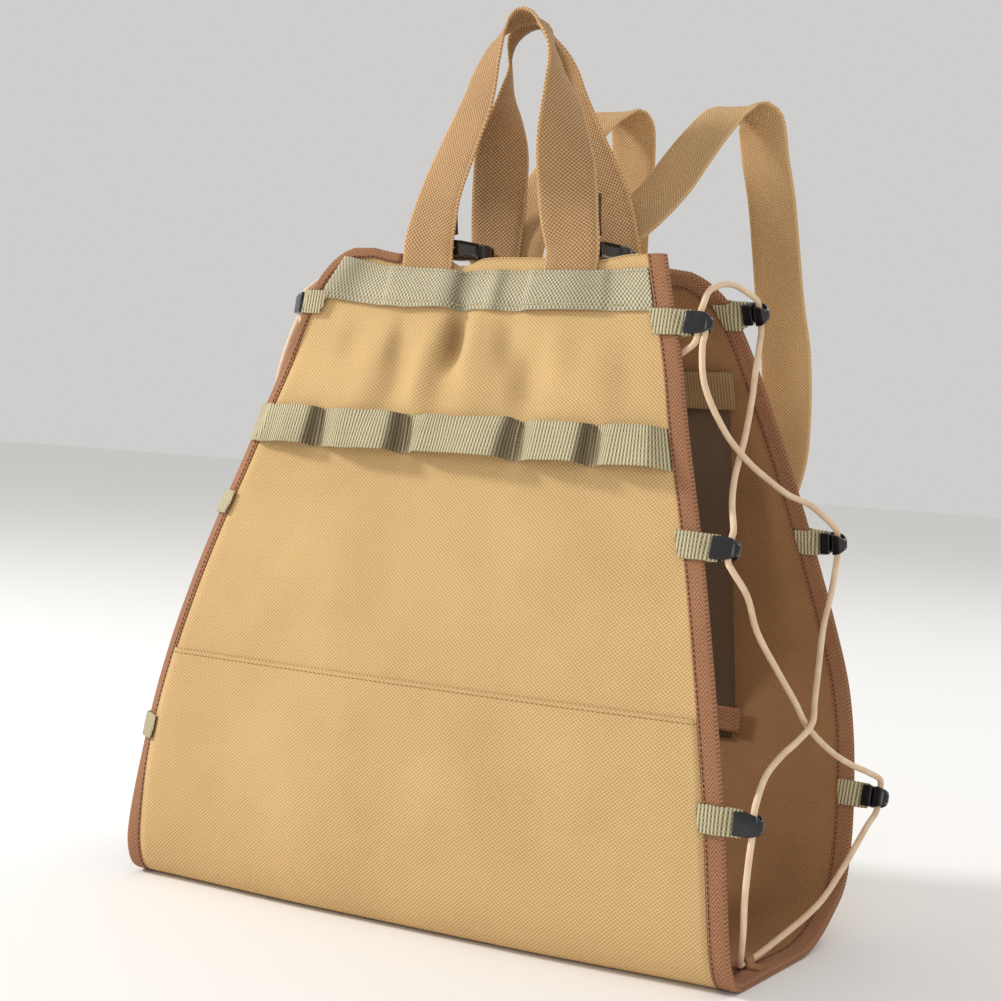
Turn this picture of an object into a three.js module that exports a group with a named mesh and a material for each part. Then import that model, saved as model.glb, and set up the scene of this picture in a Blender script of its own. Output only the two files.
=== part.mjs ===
// Canvas log carrier: a canvas sheet bent into a U, with webbing handles, backpack straps,
// closing buckles and an elastic cord laced over each open side.
// Millimetres, +Z up. The flat base stands on z = 0, the front faces -Y, the wearer's back is +Y.
import * as THREE from 'three';

// Driving sizes
const panelHeight = 428;
const halfDepth = 105;
const halfWidth = 222.5;
const wall = 2;
const clearance = 0.3;
const seatGap = 0.65;
const cornerRadius = 34;
const edgeSlope = 0.67;
const edgeFlare = 4;
const hookSwing = { left: 42, right: 0 };
const tapeThickness = 1;
const tapeWidth = 14.5;
const basePanelThickness = 1;
const bandWidth = 25;
const bandThickness = 1.2;
const topBandDrop = 21;
const midBandHeight = 311;
const loopStand = 6;
const strapWidth = 38;
const strapThickness = 2;
const handleRise = 160;
const handleApexGap = 39.6;
const shoulderRise = 113;
const shoulderReach = 132;
const shoulderFootHeight = 262;
const closingWidth = 25;
const closingThickness = 1.5;
const buckleLength = 56;
const buckleWidth = 30;
const buckleThickness = 12;
const buckleLift = 6;
const cornerLift = 5;
const tailHeight = 34;
const tabHeight = 17;
const tabLength = 12;
const tabThickness = 1.2;
const hookHeight = 14;
const hookLength = 25.5;
const cordDiameter = 4;
const keeperLength = 10;
const keeperWidth = 23;
const innerBandHeight = 352;
const stripWidth = 40;
const stripThickness = 1.2;

const halfWall = wall / 2;
const tapeInner = halfWall + clearance + 0.1;
const tapeOuter = tapeInner + tapeThickness;
const groundLift = tapeInner + Math.max(tapeThickness, basePanelThickness);
const strapInner = halfWall + seatGap;
const strapOuter = strapInner + strapThickness;
const creaseInset = tapeWidth + 2 * clearance;

// Profile of the canvas from the front's top edge over the base to the back's top edge.
// Depths are shares of halfDepth, rises of panelHeight, widths of halfWidth;
// the edge columns hold at the open sides, the middle columns at the centre.
const profile = [
  { name: 'frontTop', edgeDepth: -0.38, edgeRise: 1.0, midDepth: -0.36, midRise: 0.99, width: 0.557, steps: 3 },
  { name: 'frontHem', edgeDepth: -0.4, edgeRise: 0.963, midDepth: -0.4, midRise: 0.954, width: 0.577, steps: 2 },
  { name: 'frontBand', edgeDepth: -0.43, edgeRise: 0.925, midDepth: -0.45, midRise: 0.918, width: 0.6, steps: 2 },
  { name: 'frontChest', edgeDepth: -0.5, edgeRise: 0.846, midDepth: -0.525, midRise: 0.842, width: 0.65, steps: 2 },
  { name: 'frontLoops', edgeDepth: -0.6, edgeRise: 0.753, midDepth: -0.63, midRise: 0.75, width: 0.702, steps: 1 },
  { name: 'frontWaist', edgeDepth: -0.695, edgeRise: 0.643, midDepth: -0.733, midRise: 0.642, width: 0.765, steps: 1 },
  { name: 'frontHook', edgeDepth: -0.77, edgeRise: 0.562, midDepth: -0.81, midRise: 0.562, width: 0.812, steps: 1 },
  { name: 'frontLow', edgeDepth: -0.857, edgeRise: 0.462, midDepth: -0.905, midRise: 0.462, width: 0.863, steps: 1 },
  { name: 'frontSeam', edgeDepth: -0.933, edgeRise: 0.352, midDepth: -0.98, midRise: 0.352, width: 0.912, steps: 1 },
  { name: 'frontBelly', edgeDepth: -0.98, edgeRise: 0.24, midDepth: -1.028, midRise: 0.24, width: 0.953, steps: 1 },
  { name: 'frontFoot', edgeDepth: -1.0, edgeRise: 0.13, midDepth: -1.045, midRise: 0.126, width: 0.98, steps: 1 },
  { name: 'frontHeel', edgeDepth: -0.98, edgeRise: 0.046, midDepth: -1.02, midRise: 0.042, width: 0.996, steps: 2 },
  { name: 'frontTurn', edgeDepth: -0.91, edgeRise: 0.011, midDepth: -0.95, midRise: 0.008, width: 1.0, steps: 2 },
  { name: 'baseFront', edgeDepth: -0.79, edgeRise: 0.0, midDepth: -0.81, midRise: 0.0, width: 1.0, steps: 1 },
  { name: 'baseMiddle', edgeDepth: -0.3, edgeRise: 0.0, midDepth: -0.25, midRise: 0.0, width: 1.0, steps: 2 },
  { name: 'baseBack', edgeDepth: 0.11, edgeRise: 0.0, midDepth: 0.3, midRise: 0.0, width: 1.0, steps: 1 },
  { name: 'backLift', edgeDepth: 0.34, edgeRise: 0.013, midDepth: 0.58, midRise: 0.0, width: 1.0, steps: 1 },
  { name: 'backTurn', edgeDepth: 0.58, edgeRise: 0.04, midDepth: 0.82, midRise: 0.006, width: 0.997, steps: 2 },
  { name: 'backHeel', edgeDepth: 0.8, edgeRise: 0.073, midDepth: 0.96, midRise: 0.034, width: 0.99, steps: 1 },
  { name: 'backFoot', edgeDepth: 0.92, edgeRise: 0.134, midDepth: 1.02, midRise: 0.096, width: 0.98, steps: 1 },
  { name: 'backBelly', edgeDepth: 1.01, edgeRise: 0.212, midDepth: 1.055, midRise: 0.19, width: 0.962, steps: 1 },
  { name: 'backKeeper', edgeDepth: 1.1, edgeRise: 0.284, midDepth: 1.085, midRise: 0.274, width: 0.936, steps: 1 },
  { name: 'backSeam', edgeDepth: 1.12, edgeRise: 0.366, midDepth: 1.08, midRise: 0.36, width: 0.906, steps: 1 },
  { name: 'backLow', edgeDepth: 1.05, edgeRise: 0.465, midDepth: 1.02, midRise: 0.465, width: 0.86, steps: 1 },
  { name: 'backHook', edgeDepth: 0.945, edgeRise: 0.567, midDepth: 0.935, midRise: 0.567, width: 0.809, steps: 1 },
  { name: 'backWaist', edgeDepth: 0.855, edgeRise: 0.663, midDepth: 0.84, midRise: 0.663, width: 0.755, steps: 1 },
  { name: 'backLoops', edgeDepth: 0.74, edgeRise: 0.765, midDepth: 0.725, midRise: 0.765, width: 0.697, steps: 1 },
  { name: 'backChest', edgeDepth: 0.61, edgeRise: 0.853, midDepth: 0.595, midRise: 0.849, width: 0.646, steps: 2 },
  { name: 'backBand', edgeDepth: 0.48, edgeRise: 0.923, midDepth: 0.475, midRise: 0.916, width: 0.602, steps: 2 },
  { name: 'backHem', edgeDepth: 0.4, edgeRise: 0.963, midDepth: 0.4, midRise: 0.954, width: 0.576, steps: 3 },
  { name: 'backTop', edgeDepth: 0.35, edgeRise: 0.995, midDepth: 0.35, midRise: 0.985, width: 0.557, steps: 0 },
];

// Soft folds that run down a panel from its top band: place across as a share of the half width there,
// start and end as shares of panelHeight, spread as a share of halfWidth, push outwards as a share of halfDepth.
const folds = [
  { name: 'leftDent', panel: 'front', across: -0.36, start: 0.92, end: 0.72, spread: 0.05, push: -0.055 },
  { name: 'leftRidge', panel: 'front', across: -0.5, start: 0.9, end: 0.66, spread: 0.06, push: 0.045 },
  { name: 'middleValley', panel: 'front', across: -0.12, start: 0.9, end: 0.66, spread: 0.06, push: -0.03 },
  { name: 'middleRidge', panel: 'front', across: 0.08, start: 0.9, end: 0.7, spread: 0.07, push: 0.03 },
  { name: 'rightValley', panel: 'front', across: 0.3, start: 0.9, end: 0.72, spread: 0.06, push: -0.035 },
  { name: 'rightRidge', panel: 'front', across: 0.62, start: 0.9, end: 0.7, spread: 0.08, push: 0.025 },
  { name: 'backValley', panel: 'back', across: -0.3, start: 0.9, end: 0.68, spread: 0.08, push: -0.03 },
  { name: 'backRidge', panel: 'back', across: 0.25, start: 0.9, end: 0.68, spread: 0.09, push: 0.03 },
];

// Columns of the canvas across its width, as shares of the width inside the edge tapes; beyond 1 lies the edge
const columns = [-2, -1, -0.84, -0.7, -0.57, -0.49, -0.41, -0.27, -0.14, 0.09, 0.21, 0.34, 0.5, 0.7, 0.86, 1, 2];

// The left and right legs of both handles and the backpack straps, as places across in shares of halfWidth
const handleFront = { left: -0.211, right: 0.27 };
const handleBack = { left: -0.198, right: 0.216 };
const shoulderTop = { left: -0.126, right: 0.135 };
const shoulderFoot = { left: -0.62, right: 0.62 };

// Handle paths: across as a share of half the leg span, out as a share of the way from the apex to the panel,
// rise as a share of handleRise, turn of the strap's width about the vertical in degrees.
const frontHandlePath = [
  { across: -1.0, out: 1.0, rise: 0.03, turn: 0 },
  { across: -0.87, out: 1.0, rise: 0.225, turn: -14 },
  { across: -0.7, out: 0.91, rise: 0.394, turn: -18 },
  { across: -0.51, out: 0.73, rise: 0.581, turn: -24 },
  { across: -0.43, out: 0.5, rise: 0.756, turn: -36 },
  { across: -0.33, out: 0.23, rise: 0.885, turn: -50 },
  { across: -0.17, out: 0.05, rise: 0.945, turn: -68 },
  { across: 0.0, out: 0.0, rise: 0.968, turn: -80 },
  { across: 0.15, out: 0.02, rise: 0.945, turn: -76 },
  { across: 0.29, out: 0.14, rise: 0.878, turn: -68 },
  { across: 0.46, out: 0.37, rise: 0.806, turn: -66 },
  { across: 0.57, out: 0.5, rise: 0.725, turn: -78 },
  { across: 0.68, out: 0.68, rise: 0.6, turn: -101 },
  { across: 0.76, out: 0.82, rise: 0.45, turn: -126 },
  { across: 0.85, out: 0.91, rise: 0.3, turn: -150 },
  { across: 0.94, out: 1.0, rise: 0.131, turn: -168 },
  { across: 1.0, out: 1.0, rise: 0.03, turn: -180 },
];
const backHandlePath = [
  { across: -1.0, out: 1.0, rise: 0.04, turn: 0 },
  { across: -0.99, out: 1.0, rise: 0.22, turn: 18 },
  { across: -0.97, out: 0.94, rise: 0.41, turn: 34 },
  { across: -0.93, out: 0.8, rise: 0.57, turn: 72 },
  { across: -0.88, out: 0.64, rise: 0.675, turn: 102 },
  { across: -0.8, out: 0.46, rise: 0.8, turn: 118 },
  { across: -0.73, out: 0.3, rise: 0.875, turn: 126 },
  { across: -0.6, out: 0.16, rise: 0.93, turn: 118 },
  { across: -0.42, out: 0.04, rise: 0.97, turn: 104 },
  { across: -0.24, out: 0.0, rise: 0.98, turn: 98 },
  { across: -0.08, out: 0.06, rise: 0.955, turn: 106 },
  { across: 0.05, out: 0.24, rise: 0.885, turn: 124 },
  { across: 0.16, out: 0.42, rise: 0.8, turn: 140 },
  { across: 0.26, out: 0.6, rise: 0.67, turn: 150 },
  { across: 0.43, out: 0.74, rise: 0.53, turn: 160 },
  { across: 0.63, out: 0.88, rise: 0.39, turn: 168 },
  { across: 0.82, out: 0.97, rise: 0.26, turn: 175 },
  { across: 1.0, out: 1.0, rise: 0.05, turn: 180 },
];

// Backpack strap paths: across as a share of halfWidth, reach as a share of shoulderReach,
// level as a share of shoulderRise above the panel's top, turn of the strap's width in degrees.
const rightShoulderPath = [
  { across: 0.15, reach: 0.345, level: 0.12, turn: 0 },
  { across: 0.245, reach: 0.42, level: 0.29, turn: 0 },
  { across: 0.32, reach: 0.51, level: 0.49, turn: -3 },
  { across: 0.36, reach: 0.58, level: 0.66, turn: -5 },
  { across: 0.4, reach: 0.66, level: 0.83, turn: -8 },
  { across: 0.44, reach: 0.75, level: 0.965, turn: -10 },
  { across: 0.475, reach: 0.83, level: 1.0, turn: -10 },
  { across: 0.505, reach: 0.89, level: 0.95, turn: -10 },
  { across: 0.527, reach: 0.925, level: 0.7, turn: -10 },
  { across: 0.548, reach: 0.955, level: 0.46, turn: -10 },
  { across: 0.57, reach: 0.985, level: 0.1, turn: -9 },
  { across: 0.585, reach: 1.0, level: -0.15, turn: -8 },
  { across: 0.615, reach: 1.0, level: -0.45, turn: -7 },
  { across: 0.635, reach: 0.97, level: -0.75, turn: -6 },
  { across: 0.645, reach: 0.925, level: -1.05, turn: -4 },
  { across: 0.64, reach: 0.865, level: -1.24, turn: -2 },
];
const leftShoulderPath = [
  { across: -0.124, reach: 0.345, level: 0.11, turn: 0 },
  { across: -0.11, reach: 0.43, level: 0.36, turn: 0 },
  { across: -0.076, reach: 0.51, level: 0.55, turn: -3 },
  { across: -0.03, reach: 0.61, level: 0.78, turn: -5 },
  { across: 0.02, reach: 0.71, level: 0.93, turn: -8 },
  { across: 0.06, reach: 0.82, level: 0.985, turn: -10 },
  { across: 0.075, reach: 0.88, level: 0.93, turn: -10 },
  { across: 0.073, reach: 0.925, level: 0.72, turn: -10 },
  { across: 0.05, reach: 0.975, level: 0.32, turn: -8 },
  { across: 0.02, reach: 1.02, level: 0.0, turn: -5 },
  { across: -0.12, reach: 1.03, level: -0.3, turn: -2 },
  { across: -0.33, reach: 1.01, level: -0.62, turn: 0 },
  { across: -0.52, reach: 0.96, level: -0.93, turn: 2 },
  { across: -0.62, reach: 0.885, level: -1.16, turn: 2 },
];

// Heights of the three cord hooks on each edge, as shares of panelHeight; the left ones may sit a little higher
const hookRows = [
  { panel: 'front', number: 1, height: 0.902, leftLift: 0.01 },
  { panel: 'front', number: 2, height: 0.592, leftLift: 0 },
  { panel: 'front', number: 3, height: 0.233, leftLift: 0 },
  { panel: 'back', number: 1, height: 0.93, leftLift: 0 },
  { panel: 'back', number: 2, height: 0.588, leftLift: 0 },
  { panel: 'back', number: 3, height: 0.204, leftLift: 0 },
];

// Tacks of the loop band across the front, as shares of the half width there
const loopTacks = [-0.72, -0.25, 0.32, 0.68];

// The lacing over an open side, from its hidden end behind the front edge.
// Rows with a hook lie in that hook: out from the edge, off the canvas and down, in mm; rows on the edge likewise.
// Rows with a keeper lie under it: out, back and rise in mm.
// Rows with a share lie between the fixed rows before and after: out and rise off the straight line.
const throatOffset = -0.55;
const lacing = [
  { edge: 'front_1', out: -15, offset: -14, down: 26 },
  { edge: 'front_1', out: -5, offset: -9, down: 22 },
  { edge: 'front_1', out: 6, offset: -5.6, down: 17 },
  { hook: 'front_1', out: 15, offset: -1.2, down: 11.5 },
  { hook: 'front_1', out: 16, offset: throatOffset, down: 7.5 },
  { hook: 'front_1', out: 16, offset: throatOffset, down: -7.5 },
  { hook: 'front_1', out: 15.6, offset: -3, down: -11.5 },
  { share: 0.18, out: -3.5, rise: 8 },
  { share: 0.34, out: -4.6, rise: 10.5 },
  { share: 0.5, out: -5, rise: 11.5 },
  { share: 0.7, out: -4.5, rise: 10 },
  { share: 0.88, out: -2.5, rise: 5 },
  { hook: 'back_1', out: 18.7, offset: -2.5, down: -11 },
  { hook: 'back_1', out: 18.7, offset: throatOffset, down: -7.5 },
  { hook: 'back_1', out: 18.7, offset: throatOffset, down: 7.5 },
  { hook: 'back_1', out: 19.2, offset: -2.6, down: 11 },
  { share: 0.08, out: 0, rise: -1 },
  { share: 0.21, out: 0, rise: 0 },
  { share: 0.37, out: 0, rise: -1 },
  { share: 0.52, out: -1.7, rise: -6 },
  { share: 0.67, out: -4.6, rise: -8.5 },
  { share: 0.86, out: -3.5, rise: -1 },
  { hook: 'front_2', out: 18.2, offset: -2.6, down: -11 },
  { hook: 'front_2', out: 18.7, offset: throatOffset, down: -7.5 },
  { hook: 'front_2', out: 18.7, offset: throatOffset, down: 7.5 },
  { hook: 'front_2', out: 21, offset: -2, down: 11.5 },
  { share: 0.04, out: 6, rise: -9 },
  { share: 0.1, out: 7, rise: -22 },
  { share: 0.22, out: 8, rise: -29 },
  { share: 0.34, out: 7.6, rise: -32.5 },
  { share: 0.44, out: 6, rise: -35 },
  { share: 0.61, out: 4.4, rise: -29 },
  { share: 0.77, out: 2.4, rise: -18 },
  { share: 0.91, out: 0.6, rise: -6 },
  { hook: 'back_3', out: 18.7, offset: -2.6, down: -11 },
  { hook: 'back_3', out: 18.7, offset: throatOffset, down: -7.5 },
  { hook: 'back_3', out: 18.7, offset: throatOffset, down: 7.5 },
  { hook: 'back_3', out: 18.7, offset: -2.6, down: 11 },
  { share: 0.1, out: 2, rise: 2 },
  { share: 0.25, out: 4, rise: 1 },
  { share: 0.46, out: 7, rise: 0 },
  { share: 0.7, out: 8.5, rise: 0 },
  { keeper: true, out: 6, back: 24, rise: 7 },
  { keeper: true, out: 1.2, back: 12, rise: 1.2 },
  { keeper: true, out: 0, back: 6, rise: 0 },
  { keeper: true, out: 0, back: -6, rise: 0 },
  { keeper: true, out: 1.2, back: -12, rise: 1.2 },
  { keeper: true, out: 9, back: -30, rise: 12.4 },
  { keeper: true, out: 16, back: -46, rise: 32 },
  { share: 0.7, out: -1, rise: -12 },
  { hook: 'front_3', out: 18.4, offset: -0.2, down: 16 },
  { hook: 'front_3', out: 18.7, offset: throatOffset, down: 7.5 },
  { hook: 'front_3', out: 18.7, offset: throatOffset, down: -7.5 },
  { hook: 'front_3', out: 18.2, offset: -2.8, down: -11 },
  { share: 0.12, out: -0.6, rise: -2.7 },
  { share: 0.26, out: 2.5, rise: -12 },
  { share: 0.39, out: 6.2, rise: -23.5 },
  { share: 0.52, out: 10, rise: -31.5 },
  { share: 0.58, out: 8, rise: -28.5 },
  { share: 0.66, out: 6, rise: -17.5 },
  { share: 0.76, out: 3.4, rise: -8.3 },
  { share: 0.88, out: 2.5, rise: -3.4 },
  { hook: 'back_2', out: 18.9, offset: -2.6, down: 11 },
  { hook: 'back_2', out: 18.7, offset: throatOffset, down: 7.5 },
  { hook: 'back_2', out: 18.7, offset: throatOffset, down: -7.5 },
  { hook: 'back_2', out: 18.2, offset: -2.6, down: -11 },
  { share: 0.16, out: -2, rise: -3.6 },
  { share: 0.4, out: 3.8, rise: -22.5 },
  { share: 0.6, out: 8, rise: -34.5 },
  { share: 0.8, out: 13, rise: -45 },
  { share: 0.97, out: 14.6, rise: -47 },
  { share: 1.04, out: 7, rise: -28 },
  { hook: 'front_1', out: 21.2, offset: 1, down: 14 },
  { hook: 'front_1', out: 20.9, offset: throatOffset, down: 7.5 },
  { hook: 'front_1', out: 20.9, offset: throatOffset, down: -1 },
];

// Closed bodies from rings of points
function closedMesh(points, faces, name, material) {
  const flat = points.flatMap((point) => [point.x, point.y, point.z]);
  let volume = 0;
  const edgeCross = new THREE.Vector3();
  for (const [a, b, c] of faces) {
    volume += points[a].dot(edgeCross.crossVectors(points[b], points[c]));
  }
  const turned = volume < 0 ? faces.map(([a, b, c]) => [a, c, b]) : faces;
  const geometry = new THREE.BufferGeometry();
  geometry.setAttribute('position', new THREE.Float32BufferAttribute(flat, 3));
  geometry.setIndex(turned.flat());
  geometry.computeVertexNormals();
  const mesh = new THREE.Mesh(geometry, material);
  mesh.name = name;
  return mesh;
}

// A body swept through rings that share one section outline; the outline's shape closes both ends.
// Sides named in flipped are split along their other diagonal. The far end may have an outline of its own.
function sweep(rings, outline, name, material, flipped = [], farOutline = outline) {
  const count = outline.length;
  const points = rings.flat();
  const faces = [];
  for (let i = 0; i + 1 < rings.length; i += 1) {
    for (let k = 0; k < count; k += 1) {
      const next = (k + 1) % count;
      const here = i * count;
      const there = here + count;
      if (flipped.includes(k)) {
        faces.push([here + k, here + next, there + k]);
        faces.push([here + next, there + next, there + k]);
      } else {
        faces.push([here + k, here + next, there + next]);
        faces.push([here + k, there + next, there + k]);
      }
    }
  }
  const last = (rings.length - 1) * count;
  for (const [ends, base, turnedOver] of [[outline, 0, false], [farOutline, last, true]]) {
    const shape = ends.map(([a, b]) => new THREE.Vector2(a, b));
    const wound = THREE.ShapeUtils.isClockWise(shape) !== turnedOver;
    for (const [a, b, c] of THREE.ShapeUtils.triangulateShape(shape, [])) {
      faces.push(wound ? [a + base, b + base, c + base] : [c + base, b + base, a + base]);
    }
  }
  return closedMesh(points, faces, name, material);
}

// A thin wall between two sheets of points with the same rows and columns
function wallBody(rowCount, columnCount, pointAt, name, material) {
  const points = [];
  for (const side of [1, -1]) {
    for (let row = 0; row < rowCount; row += 1) {
      for (let column = 0; column < columnCount; column += 1) {
        points.push(pointAt(row, column, side));
      }
    }
  }
  const half = rowCount * columnCount;
  const faces = [];
  for (let row = 0; row + 1 < rowCount; row += 1) {
    for (let column = 0; column + 1 < columnCount; column += 1) {
      const a = row * columnCount + column;
      const b = a + 1;
      const c = a + columnCount;
      const d = c + 1;
      faces.push([a, c, b], [b, c, d]);
      faces.push([a + half, b + half, c + half], [b + half, d + half, c + half]);
    }
  }
  const rim = [];
  for (let column = 0; column < columnCount; column += 1) rim.push(column);
  for (let row = 1; row < rowCount; row += 1) rim.push(row * columnCount + columnCount - 1);
  for (let column = columnCount - 2; column >= 0; column -= 1) rim.push((rowCount - 1) * columnCount + column);
  for (let row = rowCount - 2; row > 0; row -= 1) rim.push(row * columnCount);
  for (let i = 0; i < rim.length; i += 1) {
    const a = rim[i];
    const b = rim[(i + 1) % rim.length];
    faces.push([a, b, b + half], [a, b + half, a + half]);
  }
  return closedMesh(points, faces, name, material);
}

// The canvas surface. Its place along the profile is a row number that may lie between table rows.
function curveThrough(pick) {
  return new THREE.CatmullRomCurve3(profile.map(pick), false, 'centripetal');
}
const edgeCurve = curveThrough((row) => new THREE.Vector3(
  row.width * halfWidth, row.edgeDepth * halfDepth, groundLift + row.edgeRise * panelHeight));
const midCurve = curveThrough((row) => new THREE.Vector3(
  row.width * halfWidth, row.midDepth * halfDepth, groundLift + row.midRise * panelHeight));
const lastRow = profile.length - 1;

function onCurve(curve, along) {
  const kept = Math.min(Math.max(along, 0), lastRow);
  const point = curve.getPoint(kept / lastRow);
  const flatFrom = profile.findIndex((row) => row.name === 'baseFront');
  const flatTo = flatFrom + (curve === midCurve ? 3 : 2);
  if (kept >= flatFrom && kept <= flatTo) point.z = groundLift;
  point.z = Math.max(point.z, groundLift);
  return point;
}

function halfWidthAt(along) {
  return onCurve(edgeCurve, along).x;
}

// Distance along the edge from each table row to the nearer top edge, for rounding the top corners
function topDistance(along) {
  const point = onCurve(edgeCurve, along);
  const top = onCurve(edgeCurve, along < lastRow / 2 ? 0 : lastRow);
  return point.distanceTo(new THREE.Vector3(point.x, top.y, top.z));
}

function smooth(low, high, value) {
  const share = Math.min(Math.max((value - low) / (high - low), 0), 1);
  return share * share * (3 - 2 * share);
}

// How far the left edge is bent back at a place along the profile, from 0 to 1
function bentShare(along) {
  const rise = (onCurve(edgeCurve, along).z - groundLift) / panelHeight;
  return smooth(1.5 * cornerRadius, 3 * cornerRadius, topDistance(along)) * smooth(0.03, 0.22, rise);
}

function edgeAt(along, side) {
  const front = along < lastRow / 2;
  const square = front && side > 0;
  const flare = side < 0 ? edgeFlare * bentShare(along) : 0;
  const width = halfWidthAt(along) + flare;
  const down = topDistance(along);
  if (square || down >= cornerRadius) return width;
  return width - cornerRadius + Math.sqrt(cornerRadius ** 2 - (cornerRadius - down) ** 2);
}

function foldPush(across, along, height) {
  const panel = along < lastRow / 2 ? 'front' : 'back';
  const rise = (height - groundLift) / panelHeight;
  let push = 0;
  for (const fold of folds) {
    if (fold.panel !== panel) continue;
    const middle = (fold.start + fold.end) / 2;
    const reach = (fold.start - fold.end) / 2;
    const fade = 1 - smooth(0.1, 1, Math.abs(rise - middle) / reach);
    const offCentre = (across * halfWidthAt(along) - fold.across * halfWidthAt(along)) / (fold.spread * halfWidth);
    push += fold.push * halfDepth * fade * Math.exp(-offCentre * offCentre);
  }
  return push;
}

// The left edge strip folds back at a crease beside its tape
function curlBack(x, along) {
  const bent = bentShare(along);
  const crease = halfWidthAt(along) + edgeFlare * bent - creaseInset;
  return -edgeSlope * bent * Math.max(0, -x - crease);
}

function basePoint(x, along) {
  const across = x / halfWidthAt(along);
  const edge = onCurve(edgeCurve, along);
  const middle = onCurve(midCurve, along);
  const blend = smooth(0.3, 1, Math.abs(across));
  return new THREE.Vector3(x, THREE.MathUtils.lerp(middle.y, edge.y, blend), THREE.MathUtils.lerp(middle.z, edge.z, blend));
}

function plainNormal(x, along) {
  const step = 0.02;
  const before = Math.max(along - step, 0);
  const after = Math.min(along + step, lastRow);
  const down = basePoint(x, after).sub(basePoint(x, before));
  const right = basePoint(x + 1, along).sub(basePoint(x - 1, along));
  return down.cross(right).normalize();
}

function middlePoint(x, along) {
  const point = basePoint(x, along);
  const across = x / halfWidthAt(along);
  point.addScaledVector(plainNormal(x, along), foldPush(across, along, point.z));
  point.y += curlBack(x, along) * (along < lastRow / 2 ? -1 : 1);
  // The front's left top corner is pulled up a little
  const rise = (point.z - groundLift) / panelHeight;
  if (along < lastRow / 2) point.z += cornerLift * smooth(0.55, 0.95, -across) * smooth(0.84, 1, rise);
  return point;
}

function normalAt(x, along) {
  const step = 0.02;
  const before = Math.max(along - step, 0);
  const after = Math.min(along + step, lastRow);
  const down = middlePoint(x, after).sub(middlePoint(x, before));
  const right = middlePoint(x + 1, along).sub(middlePoint(x - 1, along));
  return down.cross(right).normalize();
}

// A point off the canvas's middle surface, outwards where offset is positive
function surface(x, along, offset) {
  return middlePoint(x, along).addScaledVector(normalAt(x, along), offset);
}

// The place along the profile where a panel's edge has this height
function alongAt(panel, height) {
  const turn = lastRow / 2;
  let low = panel === 'front' ? 0 : lastRow;
  let high = turn;
  for (let i = 0; i < 40; i += 1) {
    const middle = (low + high) / 2;
    if (onCurve(edgeCurve, middle).z > height) low = middle;
    else high = middle;
  }
  return (low + high) / 2;
}

// Rows of the canvas grid
const gridRows = [];
profile.forEach((row, index) => {
  for (let step = 0; step < Math.max(row.steps, 1); step += 1) {
    if (index < lastRow || step === 0) gridRows.push(index + step / Math.max(row.steps, 1));
  }
});

const canvasCloth = new THREE.MeshStandardMaterial({ color: 0xc9a566, roughness: 0.95, metalness: 0 });
const tapeCloth = new THREE.MeshStandardMaterial({ color: 0x9a6238, roughness: 0.9, metalness: 0 });
const oliveWebbing = new THREE.MeshStandardMaterial({ color: 0x9f9a70, roughness: 0.85, metalness: 0 });
const tanWebbing = new THREE.MeshStandardMaterial({ color: 0xb98a54, roughness: 0.85, metalness: 0 });
const darkWebbing = new THREE.MeshStandardMaterial({ color: 0x4a3526, roughness: 0.85, metalness: 0 });
const blackPlastic = new THREE.MeshStandardMaterial({ color: 0x16171a, roughness: 0.35, metalness: 0 });
const paleCord = new THREE.MeshStandardMaterial({ color: 0xdcc2a0, roughness: 0.8, metalness: 0 });

const carrier = new THREE.Group();

function columnX(along, share) {
  const edge = edgeAt(along, Math.sign(share));
  return Math.abs(share) > 1 ? Math.sign(share) * edge : share * (edge - creaseInset);
}

function addCanvas() {
  const pointAt = (row, column, side) => {
    const along = gridRows[row];
    return surface(columnX(along, columns[column]), along, side * halfWall);
  };
  carrier.add(wallBody(gridRows.length, columns.length, pointAt, 'canvas_body', canvasCloth));
}

function addBasePanel() {
  const from = profile.findIndex((row) => row.name === 'frontSeam');
  const to = profile.findIndex((row) => row.name === 'backSeam');
  const rows = gridRows.filter((along) => along >= from && along <= to);
  const shares = columns.filter((share) => Math.abs(share) <= 1);
  const pointAt = (row, column, side) => {
    const along = rows[row];
    const offset = side > 0 ? tapeInner + basePanelThickness : tapeInner;
    return surface(columnX(along, shares[column]), along, offset);
  };
  carrier.add(wallBody(rows.length, shares.length, pointAt, 'base_panel', canvasCloth));
}

// The folded tape round an edge: inward distance from the edge against offset from the canvas
const fold = tapeThickness + clearance;
const tapeSection = [
  [tapeWidth, tapeInner],
  [tapeWidth, tapeOuter],
  [-fold * 0.5, tapeOuter],
  [-fold, halfWall],
  [-fold, -halfWall],
  [-fold * 0.5, -tapeOuter],
  [tapeWidth, -tapeOuter],
  [tapeWidth, -tapeInner],
  [-clearance, -tapeInner],
  [-clearance, tapeInner],
];

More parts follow.
